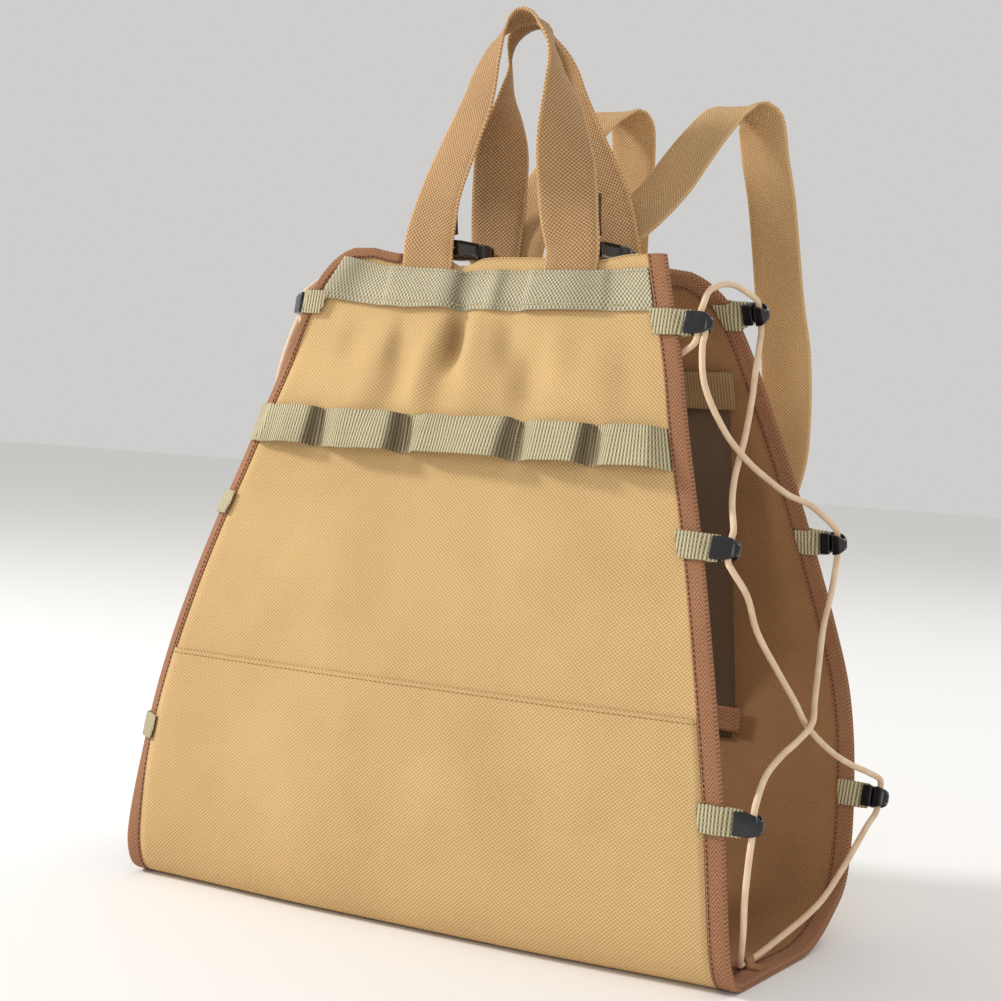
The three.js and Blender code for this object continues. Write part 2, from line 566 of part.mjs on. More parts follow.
function addBinding(side, name) {
  const legs = side < 0 ? handleFront.left : handleFront.right;
  const innerStop = Math.abs(legs) * halfWidth + strapWidth / 2 + 2;
  const path = [];
  for (const along of gridRows) path.push({ x: side * edgeAt(along, side), along });
  const stop = side * innerStop;
  if (Math.abs(path[0].x) - innerStop > tapeWidth && side < 0) path.unshift({ x: stop, along: 0 });
  path.push({ x: stop, along: lastRow });
  const middles = path.map(({ x, along }) => middlePoint(x, along));
  const rings = path.map(({ x, along }, index) => {
    const before = middles[Math.max(index - 1, 0)];
    const after = middles[Math.min(index + 1, path.length - 1)];
    const forward = after.clone().sub(before).normalize();
    const up = normalAt(x, along);
    const rounded = topDistance(along) < cornerRadius && (side < 0 || along > lastRow / 2);
    if (!rounded) {
      const inward = middlePoint(x - side, along).sub(middlePoint(x, along)).normalize();
      return tapeSection.map(([distance, offset]) => (
        surface(x - side * Math.max(distance, 0), along, offset).addScaledVector(inward, Math.min(distance, 0))));
    }
    const inward = forward.clone().cross(up).multiplyScalar(side < 0 ? -1 : 1).normalize();
    const step = 0.05;
    const toward = along < lastRow - step ? step : -step;
    const slope = middlePoint(x, along + toward).sub(middlePoint(x, along)).divideScalar(toward);
    const rowLength = slope.length();
    const rowShare = inward.dot(slope.clone().normalize());
    const sideShare = inward.x - rowShare * slope.x / rowLength;
    return tapeSection.map(([distance, offset]) => {
      const kept = Math.max(distance, 0);
      const there = Math.min(Math.max(along + kept * rowShare / rowLength, 0), lastRow);
      const point = surface(x + kept * sideShare, there, offset);
      if (distance < 0) point.addScaledVector(inward, distance);
      return point;
    });
  });
  const flipped = side < 0 ? [5, 9] : [1, 7];
  carrier.add(sweep(rings, tapeSection, name, tapeCloth, flipped));
}

// Flat webbing across a panel, from one edge tape to the other; stand(x) is its distance from the canvas
function addBand(name, panel, height, width, stand, thickness, sign, places, material) {
  const centre = alongAt(panel, height);
  const rowLength = basePoint(0, centre + 0.5).distanceTo(basePoint(0, centre - 0.5));
  const halfRows = width / 2 / rowLength;
  const rings = places.map((x) => {
    const inner = stand(x);
    return [[-1, 1], [-1, 0], [1, 0], [1, 1]].map(([row, out]) => (
      surface(x, centre + row * halfRows, sign * (inner + out * thickness))));
  });
  carrier.add(sweep(rings, [[-1, 1], [-1, 0], [1, 0], [1, 1]], name, material));
}

function spaced(from, to, count) {
  return Array.from({ length: count + 1 }, (_, index) => from + (to - from) * index / count);
}

// A bump that lifts a band over what passes beneath it
function liftOver(x, centres, halfSpan, amount) {
  let lift = 0;
  for (const centre of centres) {
    lift = Math.max(lift, amount * (1 - smooth(halfSpan, halfSpan + 7, Math.abs(x - centre))));
  }
  return lift;
}

// Where a band's two ends stop on a panel, inset from the edges
function bandReach(panel, height, width, inset) {
  const upper = alongAt(panel, height + width / 2);
  return [inset - edgeAt(upper, -1), edgeAt(upper, 1) - inset];
}

const topBandHeight = groundLift + panelHeight - topBandDrop;
const legLift = strapThickness + seatGap;

function legPlaces(legs) {
  return [legs.left * halfWidth, legs.right * halfWidth];
}

function addTopBands() {
  const overTape = tapeOuter + clearance - strapInner;
  const frontEnds = bandReach('front', topBandHeight, bandWidth, creaseInset + clearance);
  frontEnds[0] = bandReach('front', topBandHeight, bandWidth, 4)[0];
  const frontLegs = legPlaces(handleFront);
  const tapeFrom = Math.abs(frontLegs[0]) + strapWidth / 2;
  const frontStand = (x) => strapInner + Math.max(
    liftOver(x, frontLegs, strapWidth / 2 + 5, legLift),
    overTape * smooth(tapeFrom - 6, tapeFrom, -x));
  addBand('top_band_front', 'front', topBandHeight, bandWidth, frontStand, bandThickness, 1,
    spaced(frontEnds[0], frontEnds[1], 27), oliveWebbing);
  const backEnds = bandReach('back', topBandHeight, bandWidth, 4);
  const backStand = (x) => strapInner + Math.max(
    liftOver(x, legPlaces(handleBack), strapWidth / 2 + 5, legLift),
    liftOver(x, legPlaces(shoulderTop), strapWidth / 2 + 6, 2 * legLift + 0.4),
    overTape * smooth(tapeFrom - 6, tapeFrom, Math.abs(x)));
  addBand('top_band_back', 'back', topBandHeight, bandWidth, backStand, bandThickness, 1,
    spaced(backEnds[0], backEnds[1], 27), oliveWebbing);
}

// Olive band across the front, held by tacks so that it stands off in loops between them
function addMidBand() {
  const [left, right] = bandReach('front', midBandHeight, bandWidth, creaseInset + clearance);
  const stops = [left, ...loopTacks.map((tack) => tack * right), right];
  const places = [];
  const stands = new Map();
  for (let i = 0; i + 1 < stops.length; i += 1) {
    const parts = 7;
    for (let k = 0; k < parts + (i + 2 === stops.length ? 1 : 0); k += 1) {
      const share = k / parts;
      const x = stops[i] + (stops[i + 1] - stops[i]) * share;
      places.push(x);
      stands.set(x, seatGap + halfWall + 0.3 + loopStand * Math.sqrt(Math.sin(Math.PI * share)) * 0.8);
    }
  }
  addBand('mid_band', 'front', midBandHeight, bandWidth, (x) => stands.get(x), bandThickness, 1, places, oliveWebbing);
}

// A flat strap along a path of centre points, each with the direction of its width
function strapBody(stations, width, thickness, name, material) {
  const outline = [[-1, -1], [1, -1], [1, 1], [-1, 1]];
  const rings = stations.map(({ centre, across }, index) => {
    const before = stations[Math.max(index - 1, 0)].centre;
    const after = stations[Math.min(index + 1, stations.length - 1)].centre;
    const forward = after.clone().sub(before).normalize();
    const wide = across.clone().addScaledVector(forward, -across.dot(forward)).normalize();
    const thin = wide.clone().cross(forward).normalize();
    return outline.map(([a, b]) => centre.clone()
      .addScaledVector(wide, a * width / 2)
      .addScaledVector(thin, b * thickness / 2));
  });
  return sweep(rings, outline, name, material, [2]);
}

function turned(degrees) {
  const angle = THREE.MathUtils.degToRad(degrees);
  return new THREE.Vector3(Math.cos(angle), Math.sin(angle), 0);
}

// Stations down a panel's outside, from below a band up to the panel's top edge
function seatedStations(panel, x, offset, heights) {
  return heights.map((height) => ({
    centre: surface(x, alongAt(panel, height), offset),
    across: new THREE.Vector3(1, 0, 0),
  }));
}

function smoothStations(stations, parts) {
  const line = new THREE.CatmullRomCurve3(stations.map((station) => station.centre), false, 'centripetal');
  const result = [];
  for (let i = 0; i + 1 < stations.length; i += 1) {
    for (let k = 0; k < parts; k += 1) {
      const share = k / parts;
      const turn = THREE.MathUtils.lerp(stations[i].turn, stations[i + 1].turn, share);
      result.push({ centre: line.getPoint((i + share) / (stations.length - 1)), across: turned(turn) });
    }
  }
  const end = stations[stations.length - 1];
  result.push({ centre: end.centre, across: turned(end.turn) });
  return result;
}

const seatHeights = [topBandHeight - bandWidth / 2 - 1, topBandHeight, topBandHeight + bandWidth / 2 + 3];

function addHandle(name, panel, legs, path) {
  const sign = panel === 'front' ? -1 : 1;
  const [leftX, rightX] = legPlaces(legs);
  const centreX = (leftX + rightX) / 2;
  const halfSpan = (rightX - leftX) / 2;
  const offset = (strapInner + strapOuter) / 2;
  const left = seatedStations(panel, leftX, offset, seatHeights);
  const right = seatedStations(panel, rightX, offset, [...seatHeights].reverse())
    .map(({ centre }) => ({ centre, across: turned(path[path.length - 1].turn) }));
  const legDepth = Math.abs(left[2].centre.y);
  const apexDepth = handleApexGap / 2;
  const free = smoothStations(path.map((row) => ({
    centre: new THREE.Vector3(
      centreX + row.across * halfSpan,
      sign * THREE.MathUtils.lerp(apexDepth, legDepth, row.out),
      groundLift + panelHeight + row.rise * handleRise),
    turn: row.turn,
  })), 1);
  const stations = [...left, ...free, ...right];
  carrier.add(strapBody(stations, strapWidth, strapThickness, name, tanWebbing));
}

function addShoulderStrap(name, side, path) {
  const topX = shoulderTop[side] * halfWidth;
  const footX = shoulderFoot[side] * halfWidth;
  const topOffset = strapOuter + seatGap + 0.3 + strapThickness / 2;
  const footOffset = (strapInner + strapOuter) / 2 + 0.6;
  const top = seatedStations('back', topX, topOffset, seatHeights);
  const footHeights = [shoulderFootHeight, shoulderFootHeight - strapWidth / 2];
  const foot = seatedStations('back', footX, footOffset, footHeights);
  const free = path.map((row) => ({
    centre: new THREE.Vector3(
      row.across * halfWidth,
      row.reach * shoulderReach,
      groundLift + panelHeight + row.level * shoulderRise),
    across: turned(row.turn),
  }));
  carrier.add(strapBody([...top, ...free, ...foot], strapWidth, strapThickness, name, tanWebbing));
}

// Side-release buckle seen from above: across as a share of half its width, along as a share of half its length
const buckleOutline = [
  [-0.8, -1], [0.8, -1], [1, -0.8], [1, -0.1], [0.78, 0.25], [0.86, 0.6], [0.6, 1],
  [-0.6, 1], [-0.86, 0.6], [-0.78, 0.25], [-1, -0.1], [-1, -0.8],
];

function addClosing(side) {
  const x = handleFront[side] * halfWidth;
  const level = groundLift + panelHeight + buckleLift;
  const frontY = surface(x, 0, -halfWall).y;
  const backY = surface(x, lastRow, -halfWall).y;
  const middleY = (frontY + backY) / 2;
  const layers = [-1, -0.55, 0.55, 1];
  const insets = [0.82, 1, 1, 0.82];
  const rings = layers.map((layer, index) => buckleOutline.map(([a, b]) => new THREE.Vector3(
    x + a * insets[index] * buckleWidth / 2,
    middleY + b * buckleLength / 2 * (0.9 + 0.1 * insets[index]),
    level + layer * buckleThickness / 2)));
  carrier.add(sweep(rings, buckleOutline, `buckle_${side}`, blackPlastic));
  for (const [panel, along, edgeY, sign] of [['front', 0, frontY, 1], ['back', lastRow, backY, -1]]) {
    const inside = halfWall + seatGap + closingThickness / 2;
    const low = alongAt(panel, topBandHeight - bandWidth / 2);
    const high = alongAt(panel, topBandHeight + bandWidth / 4);
    const buckleEnd = middleY - sign * (buckleLength / 2 + clearance);
    const across = new THREE.Vector3(1, 0, 0);
    const top = surface(x, along, -inside - clearance);
    const stations = [surface(x, low, -inside), surface(x, high, -inside), top];
    const between = (share, below) => new THREE.Vector3(x, THREE.MathUtils.lerp(top.y, buckleEnd, share), level - below);
    stations.push(between(0.22, 4), between(0.6, 1), between(1, 0));
    const body = strapBody(stations.map((centre) => ({ centre, across })), closingWidth, closingThickness,
      `closing_strap_${side}_${panel}`, tanWebbing);
    if (Math.abs(edgeY - buckleEnd) > closingThickness) carrier.add(body);
  }
  const tailFoot = level + buckleThickness / 2 + 2 * seatGap;
  const tailY = middleY - buckleLength / 2 + 6;
  const lean = 4;
  const tail = [0, 0.5, 1].map((share) => ({
    centre: new THREE.Vector3(x - 2 - lean * share, tailY + lean * share * share, tailFoot + share * tailHeight),
    across: new THREE.Vector3(1, 0, 0),
  }));
  carrier.add(strapBody(tail, closingWidth, closingThickness, `strap_tail_${side}`, darkWebbing));
}

// Folded tab on an edge tape: distance out from the panel's edge against offset from the canvas
const tabInner = tapeOuter + seatGap + 0.4;
const tabOuter = tabInner + tabThickness;
const tabSection = [
  [-tapeWidth, tabOuter],
  [1, tabOuter],
  [5.5, tabThickness + 0.5],
  [tabLength - 1, tabThickness + 0.2],
  [tabLength, 0.5],
  [tabLength, -0.5],
  [tabLength - 1, -tabThickness - 0.2],
  [5.5, -tabThickness - 0.5],
  [1, -tabOuter],
  [-tapeWidth * 0.6, -tabOuter],
  [-tapeWidth * 0.6, -tabInner],
  [1.2, -tabInner],
  [2.7, -0.45],
  [2.7, 0.45],
  [1.2, tabInner],
  [-tapeWidth, tabInner],
];

// Hook: distance out from the panel's edge against offset; jaws on the tab, a plate and a lip round the cord
const jaw = tabThickness + 0.2 + 0.5;
const hookSection = [
  [tabLength - 4.5, jaw],
  [tabLength - 4.5, jaw + 1.65],
  [hookLength * 0.55, 4.2],
  [hookLength * 0.86, 3.6],
  [hookLength, 1.0],
  [hookLength, -2.5],
  [hookLength * 0.9, -4.8],
  [hookLength * 0.65, -4.8],
  [hookLength * 0.65, -3.3],
  [hookLength * 0.87, -3.3],
  [hookLength * 0.933, -1.9],
  [hookLength * 0.933, 0.4],
  [hookLength * 0.847, 2.1],
  [hookLength * 0.57, 2.3],
  [hookLength * 0.533, jaw],
  [hookLength * 0.533, -jaw - 1.65],
  [tabLength - 4.5, -jaw - 1.65],
  [tabLength - 4.5, -jaw],
  [tabLength + 0.4, -jaw],
  [tabLength + 0.4, jaw],
];

// A section point beyond the edge, swung towards the open side by the cord's pull
function swung([out, offset], side) {
  const hinge = 3.6;
  const angle = THREE.MathUtils.degToRad(hookSwing[side]);
  const reach = out - hinge;
  return [
    hinge + reach * Math.cos(angle) + offset * Math.sin(angle),
    offset * Math.cos(angle) - reach * Math.sin(angle),
  ];
}

// The place of a hook on its edge, with the directions out from the edge, off the canvas and down
function edgeFrame(side, row) {
  const sign = side === 'left' ? -1 : 1;
  const share = row.height + (side === 'left' ? row.leftLift : 0);
  const along = alongAt(row.panel, groundLift + share * panelHeight);
  const width = edgeAt(along, sign);
  const origin = middlePoint(sign * width, along);
  const normal = normalAt(sign * (width + 2), along);
  const outward = middlePoint(sign * (width + 2), along).sub(origin).normalize();
  const upright = normal.clone().cross(outward).normalize();
  if (upright.z > 0) upright.negate();
  const at = (out, offset, down) => origin.clone()
    .addScaledVector(outward, out)
    .addScaledVector(normal, offset)
    .addScaledVector(upright, down);
  return { sign, along, width, at };
}

function addTabAndHook(side, row) {
  const { sign, along: centre, width, at } = edgeFrame(side, row);
  const step = row.panel === 'front' ? 0.1 : -0.1;
  const rowLength = middlePoint(sign * width, centre + step)
    .distanceTo(middlePoint(sign * width, centre - step)) / (2 * step);
  const halfRows = tabHeight / 2 / rowLength;
  const ends = [-1, 1].map((end) => {
    const along = centre + end * halfRows;
    const slant = edgeAt(along, sign) - width;
    const outline = tabSection.map(([out, offset]) => {
      if (out < 5) return [out + slant, offset];
      return swung([out < tabLength / 2 ? out + Math.min(slant, 2.5) : out, offset], side);
    });
    const ring = outline.map(([out, offset], index) => (tabSection[index][0] > 5
      ? at(out, offset, end * tabHeight / 2)
      : surface(sign * (width + out), along, offset)));
    return { outline, ring };
  });
  const label = `${row.panel}_${side}_${row.number}`;
  carrier.add(sweep(ends.map((end) => end.ring), ends[0].outline, `tab_${label}`, oliveWebbing,
    [10, 11, 12, 13, 14], ends[1].outline));
  const turnedHook = hookSection.map((point) => swung(point, side));
  const hookRings = [-1, 1].map((end) => turnedHook.map(([out, offset]) => at(out, offset, end * hookHeight / 2)));
  carrier.add(sweep(hookRings, turnedHook, `hook_${label}`, blackPlastic));
}

// Round tube through its points
function tubeBody(points, diameter, sides, name, material) {
  const outline = Array.from({ length: sides }, (_, k) => {
    const angle = (k + 0.5) / sides * 2 * Math.PI;
    return [Math.cos(angle) * diameter / 2, Math.sin(angle) * diameter / 2];
  });
  let upright = new THREE.Vector3(1, 0, 0);
  const rings = points.map((point, index) => {
    const before = points[Math.max(index - 1, 0)];
    const after = points[Math.min(index + 1, points.length - 1)];
    const forward = after.clone().sub(before).normalize();
    upright = upright.addScaledVector(forward, -upright.dot(forward)).normalize().clone();
    const aside = forward.clone().cross(upright);
    const first = upright.clone();
    return outline.map(([a, b]) => point.clone().addScaledVector(first, a).addScaledVector(aside, b));
  });
  return sweep(rings, outline, name, material);
}

// Where the cord's lowest bend passes under its keeper
function keeperPlace(side) {
  const sign = side === 'left' ? -1 : 1;
  const middle = profile.findIndex((row) => row.name === 'baseMiddle');
  const tapeTop = groundLift + tapeOuter + clearance;
  return new THREE.Vector3(
    sign * (halfWidthAt(middle) - tapeWidth + 1), -0.44 * halfDepth, tapeTop + clearance + cordDiameter / 2);
}

function lacingPoints(side) {
  const sign = side === 'left' ? -1 : 1;
  const frames = new Map(hookRows.map((row) => [`${row.panel}_${row.number}`, edgeFrame(side, row)]));
  const lowest = keeperPlace(side);
  const fixed = lacing.map((row) => {
    if (row.keeper) return lowest.clone().add(new THREE.Vector3(sign * row.out, row.back, row.rise));
    if (row.edge) return frames.get(row.edge).at(row.out, row.offset, row.down);
    if (!row.hook) return null;
    const [out, offset] = swung([row.out, row.offset], side);
    return frames.get(row.hook).at(out, offset, row.down);
  });
  return lacing.map((row, index) => {
    if (fixed[index]) return fixed[index];
    let before = index;
    let after = index;
    while (!fixed[before]) before -= 1;
    while (!fixed[after]) after += 1;
    const point = fixed[before].clone().lerp(fixed[after], row.share);
    return point.add(new THREE.Vector3(sign * row.out, 0, row.rise));
  });
}

// Small patch sewn over the base's edge, with the cord's lowest bend under it
function addCordKeeper(side) {
  const sign = side === 'left' ? -1 : 1;
  const lowest = keeperPlace(side);
  const floor = groundLift + halfWall + clearance;
  const tape = groundLift + tapeOuter + clearance;
  const arch = cordDiameter / 2 + 0.6;
  const under = lowest.z + arch;
  const skin = tabThickness;
  const inward = keeperWidth * 0.54;
  const outward = keeperWidth * 0.46;
  const outline = [
    [-inward, floor], [-arch - 1.2, floor], [-arch, floor + 1], [-arch, under - 1], [-arch + 1, under],
    [arch - 1, under], [arch, under - 1], [arch, tape + 1], [arch + 0.6, tape], [outward, tape],
    [outward, tape + skin], [arch + skin + 0.8, tape + skin], [arch + skin, tape + skin + 0.8],
    [arch + skin - 0.4, under], [arch, under + skin], [-arch, under + skin], [-arch - skin + 0.4, under],
    [-arch - skin, floor + skin + 1], [-arch - skin - 1, floor + skin], [-inward, floor + skin],
  ];
  const rings = [-1, 1].map((end) => outline.map(([a, z]) => (
    new THREE.Vector3(lowest.x + sign * a, lowest.y + end * keeperLength / 2, z))));
  carrier.add(sweep(rings, outline, `cord_keeper_${side}`, canvasCloth));
}

// Webbing across the inside of the back panel, and the dark strip that hangs from it to its keeper
const stripPlace = { across: 0.47, keeperHeight: 130, keeperReach: 12, keeperOverhang: 6 };

function addInnerPieces() {
  const stripX = stripPlace.across * halfWidth;
  const stripInner = halfWall + 2 * seatGap;
  const overStrip = stripThickness + seatGap;
  const [left, right] = bandReach('back', innerBandHeight, bandWidth, creaseInset + clearance);
  const innerStand = (x) => stripInner + liftOver(x, [stripX], stripWidth / 2 + 6, overStrip);
  addBand('inner_band', 'back', innerBandHeight, bandWidth, innerStand, bandThickness, -1,
    spaced(left, right, 24), oliveWebbing);
  const across = new THREE.Vector3(1, 0, 0);
  const onPanel = (height) => surface(stripX, alongAt('back', height), -stripInner - stripThickness / 2);
  const stripTop = innerBandHeight + bandWidth / 2 - 1;
  const hangTop = onPanel(innerBandHeight - bandWidth / 2 - 3);
  const hangFoot = onPanel(stripPlace.keeperHeight + stripPlace.keeperReach);
  const centres = [onPanel(stripTop), onPanel(innerBandHeight)];
  for (const share of spaced(0, 1, 4)) centres.push(hangTop.clone().lerp(hangFoot, share));
  for (const rise of [0, -stripPlace.keeperReach]) centres.push(onPanel(stripPlace.keeperHeight + rise));
  carrier.add(strapBody(centres.map((centre) => ({ centre, across })), stripWidth, stripThickness,
    'inner_strip', darkWebbing));
  const keeper = [8, 0, -8].map((rise) => ({
    centre: surface(stripX, alongAt('back', stripPlace.keeperHeight + rise),
      -stripInner - stripThickness - seatGap - stripThickness / 2),
    across,
  }));
  carrier.add(strapBody(keeper, stripWidth + 2 * stripPlace.keeperOverhang, stripThickness,
    'strip_keeper', tapeCloth));
}

addCanvas();
addBasePanel();
addBinding(-1, 'binding_left');
addBinding(1, 'binding_right');
addTopBands();
addMidBand();
addHandle('handle_front', 'front', handleFront, frontHandlePath);
addHandle('handle_back', 'back', handleBack, backHandlePath);
addShoulderStrap('shoulder_strap_left', 'left', leftShoulderPath);
addShoulderStrap('shoulder_strap_right', 'right', rightShoulderPath);
for (const side of ['left', 'right']) {
  addClosing(side);
  for (const row of hookRows) addTabAndHook(side, row);
  addCordKeeper(side);
  carrier.add(tubeBody(lacingPoints(side), cordDiameter, 7, `cord_${side}`, paleCord));
}
addInnerPieces();

export default carrier;
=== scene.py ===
import functools
import math

import bmesh
import bpy
from mathutils import Matrix, Vector, noise


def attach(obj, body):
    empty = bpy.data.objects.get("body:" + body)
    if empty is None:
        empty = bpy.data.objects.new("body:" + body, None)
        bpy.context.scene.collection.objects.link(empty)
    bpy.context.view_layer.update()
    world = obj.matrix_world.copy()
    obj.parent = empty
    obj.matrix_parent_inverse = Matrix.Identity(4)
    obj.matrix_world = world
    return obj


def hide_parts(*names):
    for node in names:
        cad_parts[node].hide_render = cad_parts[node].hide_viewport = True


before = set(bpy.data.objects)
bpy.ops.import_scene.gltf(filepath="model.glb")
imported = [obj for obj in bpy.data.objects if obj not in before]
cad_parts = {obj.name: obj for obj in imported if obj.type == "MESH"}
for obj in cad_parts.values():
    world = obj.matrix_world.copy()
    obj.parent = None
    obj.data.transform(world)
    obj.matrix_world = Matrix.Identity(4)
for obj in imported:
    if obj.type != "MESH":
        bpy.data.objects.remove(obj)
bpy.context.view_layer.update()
print("stage: frame loaded")

mm = 0.001  # shapes are worked out in millimetres and stored in metres


def deselectAll():
    for thing in bpy.context.selected_objects:
        thing.select_set(False)


def makeActive(piece):
    deselectAll()
    piece.select_set(True)
    bpy.context.view_layer.objects.active = piece


def addObject(name, data):
    thing = bpy.data.objects.new(name, data)
    bpy.context.scene.collection.objects.link(thing)
    return thing


def applyModifier(piece, kind, **settings):
    modifier = piece.modifiers.new("shaping", kind)
    for key, value in settings.items():
        setattr(modifier, key, value)
    makeActive(piece)
    bpy.ops.object.modifier_apply(modifier=modifier.name)


# Camera at the photo's place: right of the front, a little above half height
cameraView = {"place": (0.66599, -1.16303, 0.330), "side": 30.0, "down": 2.6, "roll": 3.29, "lens": 72.54}


def addCamera():
    side, down, roll = (math.radians(cameraView[key]) for key in ("side", "down", "roll"))
    forward = Vector((-math.sin(side) * math.cos(down), math.cos(side) * math.cos(down), -math.sin(down)))
    right = Vector((math.cos(side), math.sin(side), 0))
    up = right.cross(forward)
    rolledRight = right * math.cos(roll) + up * math.sin(roll)
    rolledUp = up * math.cos(roll) - right * math.sin(roll)
    data = bpy.data.cameras.new("photoCamera")
    data.lens = cameraView["lens"]
    data.sensor_width = 36
    data.clip_start = 0.01
    camera = addObject("photoCamera", data)
    turn = Matrix((rolledRight, rolledUp, -forward)).transposed().to_4x4()
    camera.matrix_world = Matrix.Translation(cameraView["place"]) @ turn
    bpy.context.scene.camera = camera


addCamera()

# The canvas surface: front top edge, over the base, to the back top edge
carrier = {
    "panelHeight": 428, "halfDepth": 105, "halfWidth": 222.5, "cornerRadius": 34, "edgeSlope": 0.67,
    "edgeFlare": 4, "groundLift": 2.4, "tapeWidth": 14.5, "tapeOuter": 2.4, "tapeWidens": (13.5, 16),
    "creaseInset": 15.1, "cornerLift": 5, "cornerFrom": 0.84, "hemFrom": 0.955, "strapWidth": 38,
    "seatOffset": 2.65, "bandWidth": 25, "bandThickness": 1.2,
}
halfWidth, halfDepth, ground, panelHeight = (
    carrier[key] for key in ("halfWidth", "halfDepth", "groundLift", "panelHeight"))
creaseInset, bandWidth, topLevel = carrier["creaseInset"], carrier["bandWidth"], ground + panelHeight

# edge depth, edge rise, middle depth, middle rise, width
profile = [
    (-0.38, 1.0, -0.36, 0.99, 0.557), (-0.4, 0.963, -0.4, 0.954, 0.577), (-0.43, 0.925, -0.45, 0.918, 0.6),
    (-0.5, 0.846, -0.525, 0.842, 0.65), (-0.6, 0.753, -0.63, 0.75, 0.702), (-0.695, 0.643, -0.733, 0.642, 0.765),
    (-0.77, 0.562, -0.81, 0.562, 0.812), (-0.857, 0.462, -0.905, 0.462, 0.863), (-0.933, 0.352, -0.98, 0.352, 0.912),
    (-0.98, 0.24, -1.028, 0.24, 0.953), (-1.0, 0.13, -1.045, 0.126, 0.98), (-0.98, 0.046, -1.02, 0.042, 0.996),
    (-0.91, 0.011, -0.95, 0.008, 1.0), (-0.79, 0.0, -0.81, 0.0, 1.0), (-0.3, 0.0, -0.25, 0.0, 1.0),
    (0.11, 0.0, 0.3, 0.0, 1.0), (0.34, 0.013, 0.58, 0.0, 1.0), (0.58, 0.04, 0.82, 0.006, 0.997),
    (0.8, 0.073, 0.96, 0.034, 0.99), (0.92, 0.134, 1.02, 0.096, 0.98), (1.01, 0.212, 1.055, 0.19, 0.962),
    (1.1, 0.284, 1.085, 0.274, 0.936), (1.12, 0.366, 1.08, 0.36, 0.906), (1.05, 0.465, 1.02, 0.465, 0.86),
    (0.945, 0.567, 0.935, 0.567, 0.809), (0.855, 0.663, 0.84, 0.663, 0.755), (0.74, 0.765, 0.725, 0.765, 0.697),
    (0.61, 0.853, 0.595, 0.849, 0.646), (0.48, 0.923, 0.475, 0.916, 0.602), (0.4, 0.963, 0.4, 0.954, 0.576),
    (0.35, 0.995, 0.35, 0.985, 0.557),
]
rowNames = {"frontSeam": 8, "baseFront": 13, "baseMiddle": 14, "backSeam": 22}
lastRow = len(profile) - 1

# panel, across, start, end, spread, push
folds = [
    ("front", -0.36, 0.92, 0.72, 0.05, -0.03), ("front", -0.5, 0.9, 0.66, 0.06, 0.025),
    ("front", -0.105, 0.945, 0.8, 0.03, -0.075), ("front", -0.13, 0.93, 0.7, 0.06, -0.03),
    ("front", 0.02, 0.92, 0.7, 0.07, 0.03), ("front", 0.3, 0.9, 0.72, 0.06, -0.035),
    ("front", 0.62, 0.9, 0.7, 0.08, 0.025),
    ("back", -0.3, 0.9, 0.68, 0.08, -0.03), ("back", 0.25, 0.9, 0.68, 0.09, 0.03),
    ("front", -0.235, 0.94, 0.7, 0.045, 0.04), ("front", -0.42, 0.93, 0.8, 0.03, -0.02),
    ("front", -0.03, 0.93, 0.78, 0.04, 0.02),
    ("front", 0.17, 0.94, 0.8, 0.045, -0.028), ("front", 0.43, 0.93, 0.78, 0.05, 0.024),
    ("front", -0.66, 0.92, 0.8, 0.05, -0.02), ("front", 0.74, 0.9, 0.74, 0.05, -0.018),
]

# Dips of the front's top hem: place across, spread and depth in millimetres
hemDips = [(-21, 10, 7.5), (78, 13, 2.5), (18, 30, -1.0)]


def splinePoint(points, place):
    last = len(points) - 1
    index = max(min(int(place), last - 1), 0)
    share = place - index
    start, end = points[index], points[index + 1]
    before = points[index - 1] if index > 0 else start * 2 - end
    after = points[index + 2] if index + 2 <= last else end * 2 - start
    gap = (end - start).length ** 0.5
    gap = gap if gap > 1e-4 else 1.0
    gapBefore = (start - before).length ** 0.5
    gapBefore = gapBefore if gapBefore > 1e-4 else gap
    gapAfter = (after - end).length ** 0.5
    gapAfter = gapAfter if gapAfter > 1e-4 else gap
    slopeA = ((start - before) / gapBefore - (end - before) / (gapBefore + gap) + (end - start) / gap) * gap
    slopeB = ((end - start) / gap - (after - start) / (gap + gapAfter) + (after - end) / gapAfter) * gap
    square, cube = share * share, share ** 3
    return (start + slopeA * share + ((end - start) * 3 - slopeA * 2 - slopeB) * square
            + ((start - end) * 2 + slopeA + slopeB) * cube)


def profileRows(first):
    return [Vector((row[4] * halfWidth, row[first] * halfDepth, ground + row[first + 1] * panelHeight))
            for row in profile]


edgeRows, middleRows = profileRows(0), profileRows(2)


@functools.cache
def rowAt(along):
    kept = min(max(along, 0), lastRow)
    edge, middle = splinePoint(edgeRows, kept), splinePoint(middleRows, kept)
    flat = rowNames["baseFront"]
    if flat <= kept <= flat + 2:
        edge.z = ground
    if flat <= kept <= flat + 3:
        middle.z = ground
    edge.z = max(edge.z, ground)
    middle.z = max(middle.z, ground)
    return edge, middle


def smooth(low, high, value):
    share = min(max((value - low) / (high - low), 0), 1)
    return share * share * (3 - 2 * share)


def spaced(start, end, count):
    return [start + (end - start) * k / count for k in range(count + 1)]


@functools.cache
def topDistance(along):
    point, top = rowAt(along)[0], rowAt(0 if along < lastRow / 2 else lastRow)[0]
    return math.hypot(point.y - top.y, point.z - top.z)


@functools.cache
def bentShare(along):
    rise = (rowAt(along)[0].z - ground) / panelHeight
    radius = carrier["cornerRadius"]
    return smooth(1.5 * radius, 3 * radius, topDistance(along)) * smooth(0.03, 0.22, rise)


